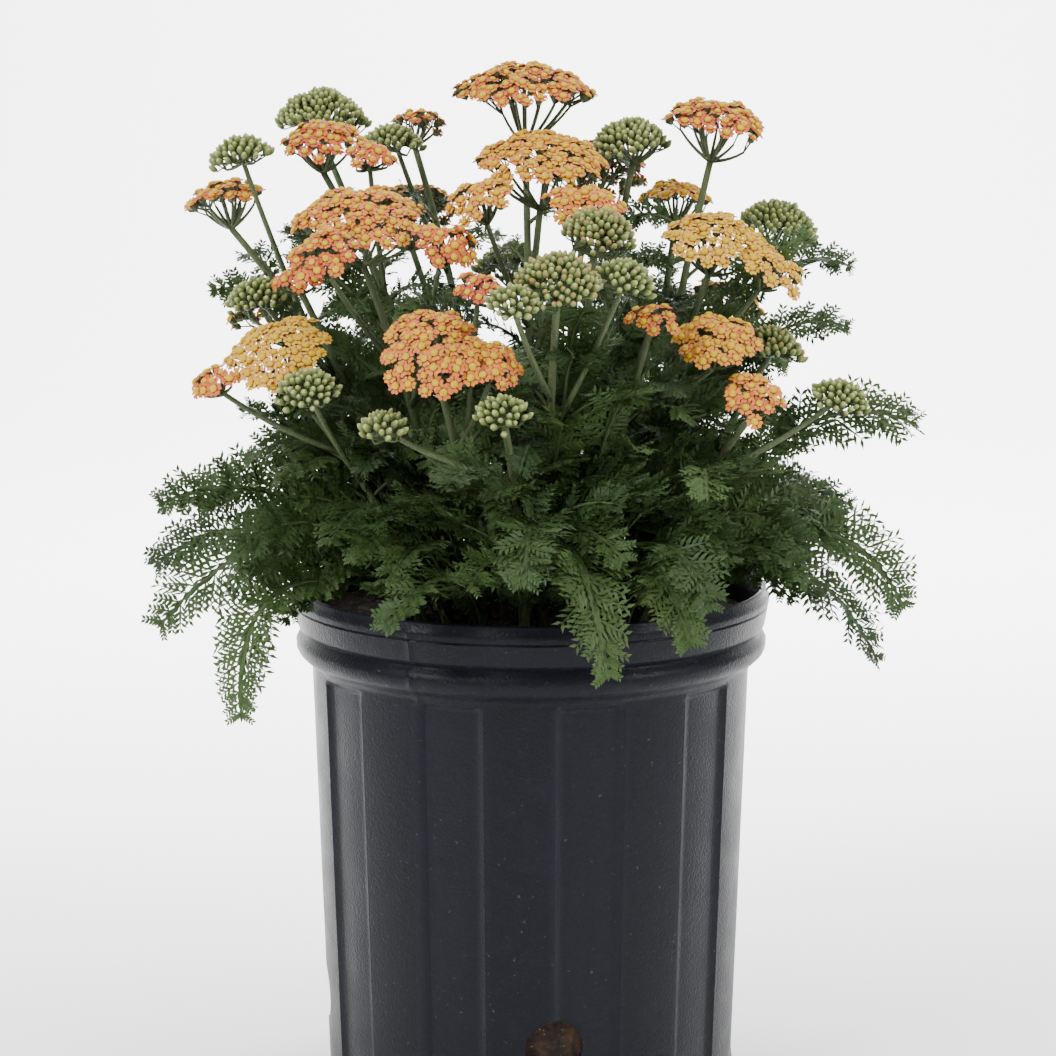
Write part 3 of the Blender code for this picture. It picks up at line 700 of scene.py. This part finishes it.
def petal_template(petals):
    """One floret's petals: each a kite with a notched tip, crowned above and below its outline."""
    right = [(0.46, -0.29), (0.76, -0.46), (1.0, -0.30)]
    left = [(x, -y) for x, y in reversed(right)]
    outline = np.array([(0.18, 0.0), *right, (0.87, 0.0), *left])
    rise = 0.10 + 0.16 * outline[:, 0] * (1 - outline[:, 0]) + 0.10 * np.abs(outline[:, 1])
    rim = np.column_stack([outline, rise])
    points = np.vstack([rim, (0.62, 0, 0.17), (0.6, 0, 0.02)])
    order = np.arange(len(rim))
    crown = np.full(len(rim), len(rim))
    top = np.stack([crown, order, np.roll(order, -1)], -1)
    under = np.stack([crown + 1, np.roll(order, -1), order], -1)
    triangles = np.concatenate([top, under])
    # How far out each point lies along the petal: it sets the colour from base to rim and the painted shade
    # near the base.
    edge = np.concatenate([outline[:, 0], [0.72, 0.5]])
    turn = 2 * np.pi * np.arange(petals) / petals
    (x, y, z), cos, sin = points.T, np.cos(turn)[:, None], np.sin(turn)[:, None]
    spun = np.stack([x * cos - y * sin, x * sin + y * cos, np.broadcast_to(z, (petals, len(z)))], -1)
    triangles = triangles[None] + len(points) * np.arange(petals)[:, None, None]
    return (spun.reshape(-1, 3), triangles.reshape(-1, 3)), np.tile(edge, petals)


def turned_template(profile, sides):
    """A profile of (radius, height) points turned round the axis, from a lower pole to an upper one."""
    turn = 2 * np.pi * np.arange(sides) / sides
    radii, heights = np.array(profile[1:-1], float).T
    rings = turned(radii[:, None], heights[:, None], turn)
    return closed_rings(rings, (0, 0, profile[0][1]), (0, 0, profile[-1][1]))


def smoothstep(value):
    """Three times the square less twice the cube, with the value kept between 0 and 1."""
    value = np.clip(value, 0, 1)
    return value * value * (3 - 2 * value)


def joint_under(name):
    """The point below a cluster where its stalk parts into branches, or meets it if it is small."""
    centre, radius, lean = CLUSTERS[name][:3]
    centre, axis = np.asarray(centre, float), axis_of(lean)
    if radius > SMALL_CLUSTER:
        return centre - 0.8 * radius * axis
    top = dome_points(centre, axis, radius, np.zeros(1), np.zeros(1), -CORE_THICKNESS)[0][0]
    return top - (0.6 if name in OPEN_HEADS else -0.8) * axis


def stem_path(foot, clusters, count=6):
    """A stem rises from its foot and leans out to the fork of its first cluster."""
    joint = joint_under(clusters[0])
    start = np.array((foot[0], foot[1], STEM_FOOT))
    middle = np.array((foot[0] * 1.2, foot[1] * 1.2, SOIL_TOP + 0.5 * (joint[2] - SOIL_TOP)))
    rising = bezier(start + (0, 0, SOIL_TOP - STEM_FOOT + 4), middle, joint, count)
    return np.vstack([start, rising])


def along(path, share):
    """The point at a share of a path's steps, on the straight line between its neighbours."""
    place = (len(path) - 1) * share
    return path[int(place)] * (1 - place % 1) + path[min(int(place) + 1, len(path) - 1)] * (place % 1)


def planned_fronds():
    """For each stem, the fronds that its solid has, drawn in the same order from the same seed."""
    draw = random.Random(SEED)
    for _ in range(SOIL_DRAWS):
        draw.uniform(-1, 1)
    plans = {name: [] for name in STEMS}
    for name, (foot, clusters) in STEMS.items():
        path = stem_path(foot, clusters)
        outward = math.atan2(foot[1], foot[0])
        heights = STEM_LEAF_HEIGHTS if math.hypot(*foot) > 42 else STEM_LEAF_HEIGHTS[:1]
        for k, height in enumerate(heights):
            root = along(path, height)
            turn = outward + (-1) ** k * 0.8 + draw.uniform(-0.3, 0.3)
            reach = draw.uniform(30, 42)
            sideways = facing(turn)
            middle = root + sideways * reach * 0.55 + (0, 0, reach * 0.42)
            tip = root + sideways * reach + (0, 0, reach * draw.uniform(-0.05, 0.25))
            plans[name].append((root, middle, tip, reach * 0.22))
    for root, middle, tip, half_width in LONG_FRONDS:
        name, place = root_on_stem(root)
        plans[name].append((place, middle, tip, half_width))
    feet = {name: np.array(foot, float) for name, (foot, _) in STEMS.items()}
    for k in range(BASAL_FRONDS):
        turn = k * GOLDEN_ANGLE + 0.4
        outward = facing(turn)
        name = min(feet, key=lambda key: np.linalg.norm(feet[key] - 34 * outward[:2]))
        root = np.array((*feet[name], SOIL_TOP + 5 + k % 3))
        reach = draw.uniform(66, 84)
        middle = root + outward * reach * 0.62 + (0, 0, draw.uniform(48, 66))
        tip = root + outward * reach + (0, 0, draw.uniform(12, 30))
        plans[name].append((root, middle, tip, 12))
    return plans


def root_on_stem(root):
    """The stem whose line passes nearest a frond's root, and the point on it."""
    best = None
    for name, (foot, clusters) in STEMS.items():
        path = stem_path(foot, clusters, 40)
        distances = np.linalg.norm(path - np.asarray(root, float), axis=1)
        index = int(distances.argmin())
        if best is None or distances[index] < best[0]:
            best = (distances[index], name, path[index])
    return best[1], best[2]


def clear_of_heads(root, middle, tip):
    """Whether a leaf keeps out of every cluster and, seen from the front, doesn't cover one."""
    line = bezier(root, middle, tip, 10)[1:]
    for centre, radius, *_ in CLUSTERS.values():
        centre = np.array(centre, float)
        if np.linalg.norm(line - centre, axis=1).min() < radius + 3:
            return False
        before = line[line[:, 1] < centre[1]]
        drop = (before - centre) @ np.array([(1, 0), (0, CAMERA_SLOPE), (0, 1)])
        if centre[1] < 30 and len(before) and np.linalg.norm(drop, axis=1).min() < 0.9 * radius + 3:
            return False
    return True


def add_frond(shape, root, middle, tip, half_width, pitch, chance, material=1):
    """A twice-cut leaf: leaflets in pairs along an arched rib, each with pointed lobes along its own rib.

    Every rib and lobe is a spindle from its start to its end. A leaflet's length follows the sine of its
    place along the leaf, and its lobes shorten toward its tip.
    """
    legs = np.linalg.norm(np.subtract(middle, root)) + np.linalg.norm(np.subtract(tip, middle))
    length = float(legs) * 0.93
    pairs = max(7, int(length * (1 - BARE_STALK) / pitch))
    shares = BARE_STALK + (1 - BARE_STALK) * (np.arange(pairs) + 0.5) / pairs
    steps = np.linspace(0, 1, 12)
    line = bezier(root, middle, tip, steps)
    tangents = unit(np.gradient(line, axis=0))
    places = bezier(root, middle, tip, shares)
    forward = unit(np.stack([np.interp(shares, steps, tangents[:, i]) for i in range(3)], 1))
    sideways = abs(tip[0] - root[0]) / (math.hypot(tip[0] - root[0], tip[1] - root[1]) + 1)
    toward = (chance.uniform(-0.25, 0.25), chance.uniform(-1.6, -0.5) * sideways, 1)
    side = unit(np.cross(forward, toward))
    normal = np.cross(side, forward)
    spread = (shares - BARE_STALK) / (1 - BARE_STALK)
    reach = half_width * np.sin(np.pi * (0.10 + 0.84 * spread) ** 1.1) ** 0.75 + 1.0
    tint = chance.uniform(0.0, 1.0)
    radii = np.interp(steps, [0, 1], [0.75, 0.25])
    shape.add(*tube(line, radii, 4), material=0)
    step = length * (1 - BARE_STALK) / pairs
    behind, ahead = places - 0.7 * step * forward, places + step * forward
    wings = blades(behind, ahead, reach * 0.05 + 0.7, normal, 0.15)
    shape.add(*wings, material=material, tint=tint, edge=0.2)
    for sign in (-1, 1):
        jitter = np.array([[chance.uniform(-1, 1) for _ in range(3)] for _ in range(pairs)])
        rising = normal * (0.18 + 0.45 * jitter[:, :1])
        heading = sign * side + forward * (0.55 + 0.3 * spread[:, None]) + rising
        heading = unit(heading + 0.12 * jitter)
        long = reach * (1 + 0.14 * jitter[:, 1])
        ends = places + heading * long[:, None]
        up = unit(normal + 0.5 * jitter)
        ribs = blades(places, ends, np.full(pairs, 0.6), up, 0.2, 0.4)
        shape.add(*ribs, material=material, tint=tint + 0.1, edge=0.2)
        across = unit(np.cross(up, heading))
        cuts = np.array(LOBE_PLACES)
        for flank in (-1, 1):
            starts = places[:, None] + heading[:, None] * (long[:, None] * cuts)[..., None]
            lobe = (long[:, None] * 0.46 * (1 - 0.5 * cuts))[..., None]
            wave = 0.25 * np.sin(7 * cuts + 3 * jitter[:, :1])[..., None]
            aim = heading[:, None] * 0.72 + flank * across[:, None] * 0.69 + up[:, None] * wave
            lobe_ends = starts + unit(aim) * (lobe + 0.5)
            widths = np.clip(0.09 * np.repeat(long, len(cuts)), 0.36, 0.66)
            starts, lobe_ends = starts.reshape(-1, 3), lobe_ends.reshape(-1, 3)
            lobes = blades(starts, lobe_ends, widths, np.repeat(up, len(cuts), 0), 0.35, 0.42)
            edge = np.tile((0.0, 0.4, 0.4, 1.0), len(widths))
            shape.add(*lobes, material=material, tint=tint, edge=edge)


def spiral(radius, pitch):
    """Evenly spread places on a disc.

    The distance grows with the square root of a place's number, and the turn by the golden angle.
    """
    count = max(5, int((radius / pitch) ** 2 * 3.63))
    number = np.arange(count)
    reach, turn = radius * np.sqrt((number + 0.5) / count), number * GOLDEN_ANGLE
    return reach * np.cos(turn), reach * np.sin(turn)


def cluster_places(name, pitch, inset, lift, deep, chance):
    """Where a cluster's florets or buds stand, and which way they face.

    The spiral's reach swells and shrinks round the cluster. Each place is drawn toward the nearest of a few
    small crowns and sinks with the square of its distance from it, so the dome breaks into lobes.
    """
    centre, radius, lean = CLUSTERS[name][:3]
    centre, axis = np.asarray(centre, float), axis_of(lean)
    across_by, along_by = spiral(radius - inset, pitch)
    turn, phase = np.arctan2(along_by, across_by), radius * 1.7 + centre[0]
    swell = 1 + 0.055 * np.sin(3 * turn + phase) + 0.05 * np.sin(5 * turn + 2 * phase)
    reach = np.hypot(across_by, along_by) / radius
    flat = np.stack([across_by, along_by], 1) * (1 + (swell - 1) * reach)[:, None]
    crowns = max(1, round((radius / 7.5) ** 2))
    number = np.arange(crowns)
    spin = number * GOLDEN_ANGLE + phase
    out = 0.86 * radius * np.sqrt((number + 0.4) / crowns)[:, None]
    away = flat[:, None] - (out * np.stack([np.cos(spin), np.sin(spin)], 1))[None]
    nearest = np.argmin(np.linalg.norm(away, axis=2), axis=1)
    away = away[np.arange(len(flat)), nearest]
    flat = flat - 0.08 * away if crowns > 1 else flat
    wobble = np.array([[chance.gauss(0, 0.12 * pitch) for _ in range(3)] for _ in across_by])
    gap = np.linalg.norm(away, axis=1)
    sink = 1.2 * np.clip(gap / 5.5, 0, 1.3) ** 2 if crowns > 1 else np.zeros(len(flat))
    fall = deep * radius * (np.linalg.norm(flat, axis=1) / radius) ** 2
    shifted = flat + wobble[:, :2]
    places, normals = dome_points(centre, axis, radius, shifted[:, 0], shifted[:, 1], lift)
    places = places - axis * (sink + fall - 0.6 * wobble[:, 2])[:, None]
    across, along = frames_of(axis)
    outward = (flat[:, :1] * across + flat[:, 1:] * along) / radius
    tilted = (away[:, :1] * across + away[:, 1:] * along) / 9.0
    return places, unit(normals + 1.6 * deep * outward + 0.45 * tilted + 0.07 * wobble), axis


def add_branches(shape, name, places, axis):
    """Curved branches from the joint to points under the cluster, and a stalk to each floret or bud."""
    joint = joint_under(name)
    radius = CLUSTERS[name][1]
    if radius <= SMALL_CLUSTER:
        joint = joint - 3 * axis
    hubs = places[:: max(1, len(places) // 15)][1:16] - axis * (0.15 * radius + 1.6)
    hubs = hubs + 0.16 * (joint - hubs)
    for hub in hubs:
        bow = joint * 0.5 + hub * 0.5 - axis * 0.10 * radius + (hub - joint) * 0.06
        shape.add(*tube(bezier(joint, bow, hub, 6), np.linspace(0.75, 0.45, 6), 5), material=0)
    nearest = np.argmin(np.linalg.norm(places[:, None] - hubs[None], axis=2), axis=1)
    for place, hub in zip(places, hubs[nearest]):
        bow = hub * 0.5 + place * 0.5 - axis * 0.5 + (place - hub) * 0.1
        shape.add(*tube(bezier(hub, bow, place - axis * 0.4, 4), (0.38, 0.32, 0.3, 0.3), 3), material=0)


def add_stem(shape, foot, clusters):
    """The stem itself and the arms that leave it for its other clusters."""
    path = stem_path(foot, clusters, 22)
    coarse = stem_path(foot, clusters)
    shape.add(*tube(path, np.linspace(STEM_RADIUS, STEM_TIP_RADIUS, len(path)), 10), material=0)
    for k, name in enumerate(clusters[1:], 1):
        start, joint = along(coarse, 0.86 - 0.1 * k), joint_under(name)
        bow = start * 0.45 + joint * 0.55 - (0, 0, 4)
        shape.add(*tube(bezier(start, bow, joint, 10), np.linspace(1.1, 0.85, 10), 7), material=0)
    return path


def add_buds(shape, name, sizes, chance):
    """Closed ovoid buds standing close together over a domed cluster."""
    places, normals, axis = cluster_places(name, sizes.bud_pitch / MM, 0.2, 1.2, 0.42, chance)
    add_branches(shape, name, places, axis)
    template = turned_template([(0, -0.6), (0.85, 0.4), (1.14, 1.6), (0.66, 2.8), (0, 3.4)], 6)
    edge = np.concatenate([np.repeat((0.15, 0.5, 0.88), 6), (0.0, 1.0)])
    count = len(places)
    turns = np.array([chance.uniform(0, 6.28) for _ in range(count)])
    scales = np.array([chance.uniform(0.85, 1.12) for _ in range(count)])
    points, triangles = copies(template, places, unit(normals + 0.2 * axis), turns, scales)
    red = name in RED_BUDS
    tints = [1 + (chance.uniform(0.3, 1) if red and chance.random() < 0.6 else 0) for _ in range(count)]
    tints = np.repeat(tints, len(template[0]))
    shape.add(points, triangles, material=2, tint=tints, edge=np.tile(edge, count))


class YARROW_OT_pot(Operator):
    """Build the fluted pot"""

    bl_idname = "yarrow.pot"
    bl_label = "Pot"

    def execute(self, context):
        sizes, colours = context.scene.yarrow_sizes, context.scene.yarrow_colours
        made = pot_shell(sizes.pot_columns).build("pot_shell", [pot_finish(colours)])
        cutters = bpy.data.collections.new("drain_cutters")
        for k in range(DRAINS):
            turn = FIRST_DRAIN + 2 * math.pi * k / DRAINS
            outward = facing(turn)
            start = outward * 60 + (0, 0, DRAIN_HEIGHT)
            cutter = Shape()
            cutter.add(*tube([start, start + outward * 20], [DRAIN_RADIUS] * 2, 48))
            tool = cutter.build(f"drain_cutter_{k}", [])
            context.scene.collection.objects.unlink(tool)
            cutters.objects.link(tool)
        context.scene.collection.children.link(cutters)
        modifier = made.modifiers.new("drains", "BOOLEAN")
        modifier.operation, modifier.operand_type = "DIFFERENCE", "COLLECTION"
        modifier.collection, modifier.solver = cutters, "EXACT"
        context.view_layer.update()
        cut = bpy.data.meshes.new_from_object(made.evaluated_get(context.evaluated_depsgraph_get()))
        made.modifiers.clear()
        made.data = cut
        made.data.set_sharp_from_angle(angle=math.radians(35))
        for tool in list(cutters.objects):
            bpy.data.objects.remove(tool, do_unlink=True)
        bpy.data.collections.remove(cutters)
        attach(made, "root")
        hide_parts("pot")
        return {"FINISHED"}


def pot_shell(columns):
    """The pot's skin as a closed turned surface.

    The wall's radius tapers with height. Every other panel of twenty is set back by the flute's depth,
    through a smooth step at its two edges and at the flute's foot and head. A low mould line runs up it.
    """
    turn = 2 * np.pi * np.arange(columns) / columns
    phase = (np.degrees(turn) + PANEL_TURN) / (360 / PANELS)
    within, recessed = phase % 1, np.floor(phase) % 2 == 1
    near = np.minimum(within, 1 - within)
    depth = np.where(recessed, smoothstep(near / 0.10), 0)
    # Painted highlight: the recessed panels and a thin line at each panel edge are marked to be painted
    # paler, standing in for side light catching the flutes.
    flute_highlight = np.where(recessed, 0.35, 0) + 0.5 * np.exp(-((near - 0.02) / 0.04) ** 2)
    wall = np.concatenate([np.linspace(5, 14, 7), np.linspace(20, 138, 12), np.linspace(142, 148.2, 13)])
    flute = smoothstep((wall - 5) / 7) * smoothstep((148.1 - wall) / 2.6)
    tapered = FOOT_RADIUS + (HEAD_RADIUS - FOOT_RADIUS) * wall / TAPERED_HEIGHT
    upper = (*POT_SHOULDER, *POT_BEAD, *POT_GROOVE, *POT_BAND, *POT_LIP, *POT_TOP, *POT_INSIDE)
    radii = [np.full(columns, radius) for _, radius in POT_FOOT]
    radii += [base - FLUTE_DEPTH * share * depth for base, share in zip(tapered, flute)]
    radii += [np.full(columns, radius) for _, radius in upper]
    heights = np.array([height for height, _ in POT_FOOT] + list(wall) + [height for height, _ in upper])
    from_line = (np.degrees(turn) - MOULD_LINE + 180) % 360 - 180
    seam = 0.55 * np.exp(-((from_line / 0.5) ** 2))
    outer_rows = np.arange(len(heights)) < len(heights) - 8
    outside = (heights > 3) & (heights < 174) & outer_rows
    radii = np.array(radii) + outside[:, None] * seam
    fluted = ((heights > 6) & (heights < 147) & outside).astype(float)
    edge = np.append((fluted[:, None] * flute_highlight).ravel(), (0, 0))
    shape = Shape()
    rings = turned(radii, heights[:, None], turn)
    shape.add(*closed_rings(rings, (0, 0, 0), (0, 0, FLOOR_THICKNESS)), edge=edge)
    return shape


class YARROW_OT_soil(Operator):
    """Build the potting mix"""

    bl_idname = "yarrow.soil"
    bl_label = "Soil"

    def execute(self, context):
        made = soil_shape().build("soil_surface", [soil_finish(context.scene.yarrow_colours)])
        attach(made, "root")
        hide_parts("soil")
        return {"FINISHED"}


def soil_shape():
    """A turned plug whose top and sides are roughened by a seeded scatter."""
    columns, spread = 160, np.random.default_rng(SEED)
    heights = np.concatenate([[SOIL_BOTTOM, 3.2], np.linspace(8, 148, 36), [154, 158, 161]])
    radii = np.interp(heights, [SOIL_BOTTOM, 148, 162], [67.1, 73.1, 77.0])
    reaches = np.linspace(76.2, 1.5, 46)
    height = np.concatenate([heights, np.full(len(reaches), SOIL_TOP)])
    radius = np.concatenate([radii, reaches])
    turn = 2 * np.pi * np.arange(columns) / columns
    rough = spread.normal(0, 1, (len(height), columns))
    rough = (rough + np.roll(rough, 1, 1) + np.roll(rough, 1, 0)) / 3
    side = (np.arange(len(height)) < len(heights))[:, None]
    radial = radius[:, None] - np.where(side, np.abs(rough) * 0.9, 0)
    lift = height[:, None] + np.where(side, 0, rough * 0.9 - 1.0)
    shape = Shape()
    rings = turned(radial, lift, turn)
    shape.add(*closed_rings(rings, (0, 0, SOIL_BOTTOM), (0, 0, SOIL_TOP - 1)))
    return shape


class YARROW_OT_stems(Operator):
    """Build the leafy stems with their branches and closed buds"""

    bl_idname = "yarrow.stems"
    bl_label = "Leafy stems"

    def execute(self, context):
        sizes, colours = context.scene.yarrow_sizes, context.scene.yarrow_colours
        finishes = [stem_finish(colours), leaf_finish(colours), bud_finish(colours)]
        plans = planned_fronds()
        pitch = sizes.pinna_pitch / MM
        for node, stems in stems_by_node().items():
            shape = Shape()
            for stem in stems:
                foot, clusters = STEMS[stem]
                chance = random.Random(stem)
                path = add_stem(shape, foot, clusters)
                for plan in plans[stem]:
                    add_frond(shape, *plan, pitch, chance)
                for k in range(sizes.stem_leaves):
                    share = 0.16 + (0.72 if foot[1] > 4 else 0.56) * (k + 0.5) / sizes.stem_leaves
                    root = along(path, share)
                    for turning in range(LEAF_TRIES):
                        turn = k * GOLDEN_ANGLE + chance.uniform(0, 1) + foot[0] + 0.9 * turning
                        sideways = facing(turn)
                        reach = chance.uniform(36, 52) * (1.15 - 0.75 * share) * (1 - 0.05 * turning)
                        middle = root + sideways * reach * 0.5 + (0, 0, reach * 0.55)
                        tip = root + sideways * reach + (0, 0, reach * chance.uniform(0.0, 0.5))
                        if clear_of_heads(root, middle, tip):
                            add_frond(shape, root, middle, tip, 3.5 + reach * 0.11, pitch, chance)
                            break
                for name in clusters:
                    if name in BUD_HEADS:
                        add_buds(shape, name, sizes, chance)
            made = shape.build("fine_" + node, finishes, crisp=(1,))
            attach(made, "root")
            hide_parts(node)
        return {"FINISHED"}


def stems_by_node():
    """The stems that each leafy node stands for: its own, and those whose leaves or arms cross into it."""
    return {"leafy_" + stems[0]: stems for stems in SHARED_STEMS}


class YARROW_OT_undergrowth(Operator):
    """Build the leaves that fill the middle of the plant"""

    bl_idname = "yarrow.undergrowth"
    bl_label = "Undergrowth"

    def execute(self, context):
        sizes, colours = context.scene.yarrow_sizes, context.scene.yarrow_colours
        finishes = [stem_finish(colours), leaf_finish(colours)]
        chance = random.Random(SEED + 5)
        pitch = sizes.pinna_pitch / MM
        for group in range(UNDERGROWTH_GROUPS):
            shape = Shape()
            for k in range(group, sizes.extra_fronds, UNDERGROWTH_GROUPS):
                turn = k * GOLDEN_ANGLE
                outward = facing(turn)
                inner = k / sizes.extra_fronds
                front = max(0.0, -outward[1] - 0.55) * 2
                low = k % 5 < 2
                root = outward * chance.uniform(18, 44) + (0, 0, SOIL_TOP + (2 if low else 62 * inner))
                reach = chance.uniform(58, 76) if low else chance.uniform(38, 62)
                reach = reach * (1 - 0.32 * front)
                rise = chance.uniform(34, 58) if low else reach * chance.uniform(0.7, 1.5)
                fall = chance.uniform(2, 34) if low else rise * chance.uniform(0.5, 1.2)
                middle = root + outward * reach * 0.5 + (0, 0, rise + 12 * front)
                tip = root + outward * reach + (0, 0, fall + 26 * front)
                if low or clear_of_heads(root, middle, tip):
                    add_frond(shape, root, middle, tip, chance.uniform(7, 11), pitch, chance)
            for k in range(group, sizes.rim_fronds, UNDERGROWTH_GROUPS):
                turn = math.radians(-165 + 150 * (k + 0.5) / sizes.rim_fronds)
                outward = facing(turn)
                root = outward * chance.uniform(40, 52) + (0, 0, SOIL_TOP - 1)
                reach = chance.uniform(24, 31)
                middle = root + outward * reach * 0.4 + (0, 0, chance.uniform(20, 34))
                tip = root + outward * reach + (0, 0, chance.uniform(15, 26))
                add_frond(shape, root, middle, tip, chance.uniform(6, 8), pitch, chance)
            made = shape.build(f"undergrowth_{group}", finishes, crisp=(1,))
            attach(made, "root")
        return {"FINISHED"}


class YARROW_OT_heads(Operator):
    """Build the open flower clusters"""

    bl_idname = "yarrow.heads"
    bl_label = "Flower clusters"

    def execute(self, context):
        sizes, colours = context.scene.yarrow_sizes, context.scene.yarrow_colours
        green, discs = stem_finish(colours), disc_finish()
        petals = {name: petal_finish(name) for name in PETAL_COLOURS}
        shared = {}
        for name in OPEN_HEADS:
            shared.setdefault(SHARED_HEADS.get(name, name), []).append(name)
        for owner, names in shared.items():
            shape = Shape()
            chance = random.Random(owner)
            for number, name in enumerate(names):
                add_florets(shape, name, sizes, chance, 2 + number)
            finishes = [green, discs] + [petals[OPEN_HEADS[name][3]] for name in names]
            made = shape.build("florets_" + owner, finishes, crisp=tuple(range(2, len(finishes))))
            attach(made, "root")
            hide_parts("head_" + owner)
        return {"FINISHED"}


def add_florets(shape, name, sizes, chance, material):
    """Florets over a domed cluster: petals round a raised disc on a green cup."""
    places, normals, axis = cluster_places(name, sizes.floret_pitch / MM, 1.2, 1.4, 0.16, chance)
    add_branches(shape, name, places, axis)
    count = len(places)
    turns = np.array([chance.uniform(0, 6.28) for _ in range(count)])
    scales = np.array([chance.uniform(0.86, 1.12) for _ in range(count)])
    tilt = np.array([[chance.gauss(0, 0.13) for _ in range(3)] for _ in range(count)])
    axes = unit(normals + 0.25 * axis + tilt)
    tints = np.array([chance.random() for _ in range(count)])
    cup = turned_template([(0, -2.8), (1.5, -1.3), (1.35, 0.1), (0, 0.2)], 5)
    points, triangles = copies(cup, places, axes, turns, scales)
    shape.add(points, triangles, material=0)
    disc = turned_template([(0, 0.1), (1.05, 0.25), (1.28, 0.85), (0.8, 1.3), (0, 1.4)], 7)
    points, triangles = copies(disc, places, axes, turns, scales)
    shape.add(points, triangles, material=1, tint=np.repeat(tints, len(disc[0])))
    rays, edge = petal_template(sizes.petals)
    rays = (rays[0] * sizes.floret_radius / MM, rays[1])
    points, triangles = copies(rays, places, axes, turns, scales)
    shape.add(points, triangles, material, np.repeat(tints, len(rays[0])), np.tile(edge, count))


class YARROW_OT_stage(Operator):
    """Set the floor, the lights and the camera"""

    bl_idname = "yarrow.stage"
    bl_label = "Stage"

    def execute(self, context):
        sweep, across = floor_outline(), np.linspace(-FLOOR_HALF_WIDTH, FLOOR_HALF_WIDTH, 9)
        grid = np.broadcast_arrays(across[None], sweep[:, :1], sweep[:, 1:])
        points = np.stack(grid, -1).reshape(-1, 3) / MM
        shape = Shape()
        shape.add(points, grid_triangles(len(sweep), len(across), closed=False))
        floor = shape.build("studio_floor", [floor_finish()])
        world = bpy.data.worlds.new("studio")
        world.use_nodes = True
        world.node_tree.nodes["Background"].inputs[0].default_value = (1, 1, 1, 1)
        world.node_tree.nodes["Background"].inputs[1].default_value = WORLD_STRENGTH
        context.scene.world = world
        for name, (place, target, power, size) in LAMPS.items():
            lamp = bpy.data.lights.new(name, "AREA")
            lamp.energy, lamp.size = power, size
            holder = bpy.data.objects.new(name, lamp)
            holder.location = place
            toward = np.subtract(target, place)
            holder.rotation_euler = (
                math.atan2(math.hypot(toward[0], toward[1]), -toward[2]),
                0,
                math.atan2(toward[1], toward[0]) - math.pi / 2,
            )
            context.scene.collection.objects.link(holder)
        camera = bpy.data.cameras.new("camera")
        camera.sensor_width, camera.lens = 36, 36 * FOCAL_PIXELS / FRAME_PIXELS
        eye = bpy.data.objects.new("camera", camera)
        eye.location = CAMERA_PLACE
        eye.rotation_euler = (math.radians(90) - CAMERA_DOWN, 0, 0)
        context.scene.collection.objects.link(eye)
        context.scene.camera = eye
        return {"FINISHED"}


def floor_outline():
    """The floor from front to back as (y, z): flat, then an arc that turns up, then upright."""
    turn = np.linspace(0.1, math.pi / 2, 16)
    flat = np.linspace((FLOOR_FRONT, 0), (FLOOR_BEND, 0), 24)
    arc = np.stack([FLOOR_BEND + BEND_RADIUS * np.sin(turn), BEND_RADIUS - BEND_RADIUS * np.cos(turn)], 1)
    upright = [(FLOOR_BEND + BEND_RADIUS, height) for height in FLOOR_TOPS]
    return np.concatenate([flat, arc, upright])


class YARROW_PT_panel(Panel):
    """The plant's pieces and sizes"""

    bl_label = "Yarrow plant"
    bl_space_type = "VIEW_3D"
    bl_region_type = "UI"
    bl_category = "Yarrow"

    def draw(self, context):
        for operator in OPERATORS:
            self.layout.operator(operator.bl_idname)
        for group in (context.scene.yarrow_sizes, context.scene.yarrow_colours):
            for key in group.__annotations__:
                self.layout.prop(group, key)


OPERATORS = (
    YARROW_OT_stage,
    YARROW_OT_pot,
    YARROW_OT_soil,
    YARROW_OT_stems,
    YARROW_OT_undergrowth,
    YARROW_OT_heads,
)
CLASSES = (PlantSizes, PlantColours, *OPERATORS, YARROW_PT_panel)


def register():
    """Adds the classes, and the two property groups to the scene."""
    for each in CLASSES:
        bpy.utils.register_class(each)
    bpy.types.Scene.yarrow_sizes = PointerProperty(type=PlantSizes)
    bpy.types.Scene.yarrow_colours = PointerProperty(type=PlantColours)


def unregister():
    """Takes away all that register added."""
    del bpy.types.Scene.yarrow_sizes, bpy.types.Scene.yarrow_colours
    for each in reversed(CLASSES):
        bpy.utils.unregister_class(each)


def main():
    """Builds every piece in order."""
    register()
    for operator in OPERATORS:
        group, name = operator.bl_idname.split(".")
        getattr(getattr(bpy.ops, group), name)()


if __name__ == "__main__":
    main()
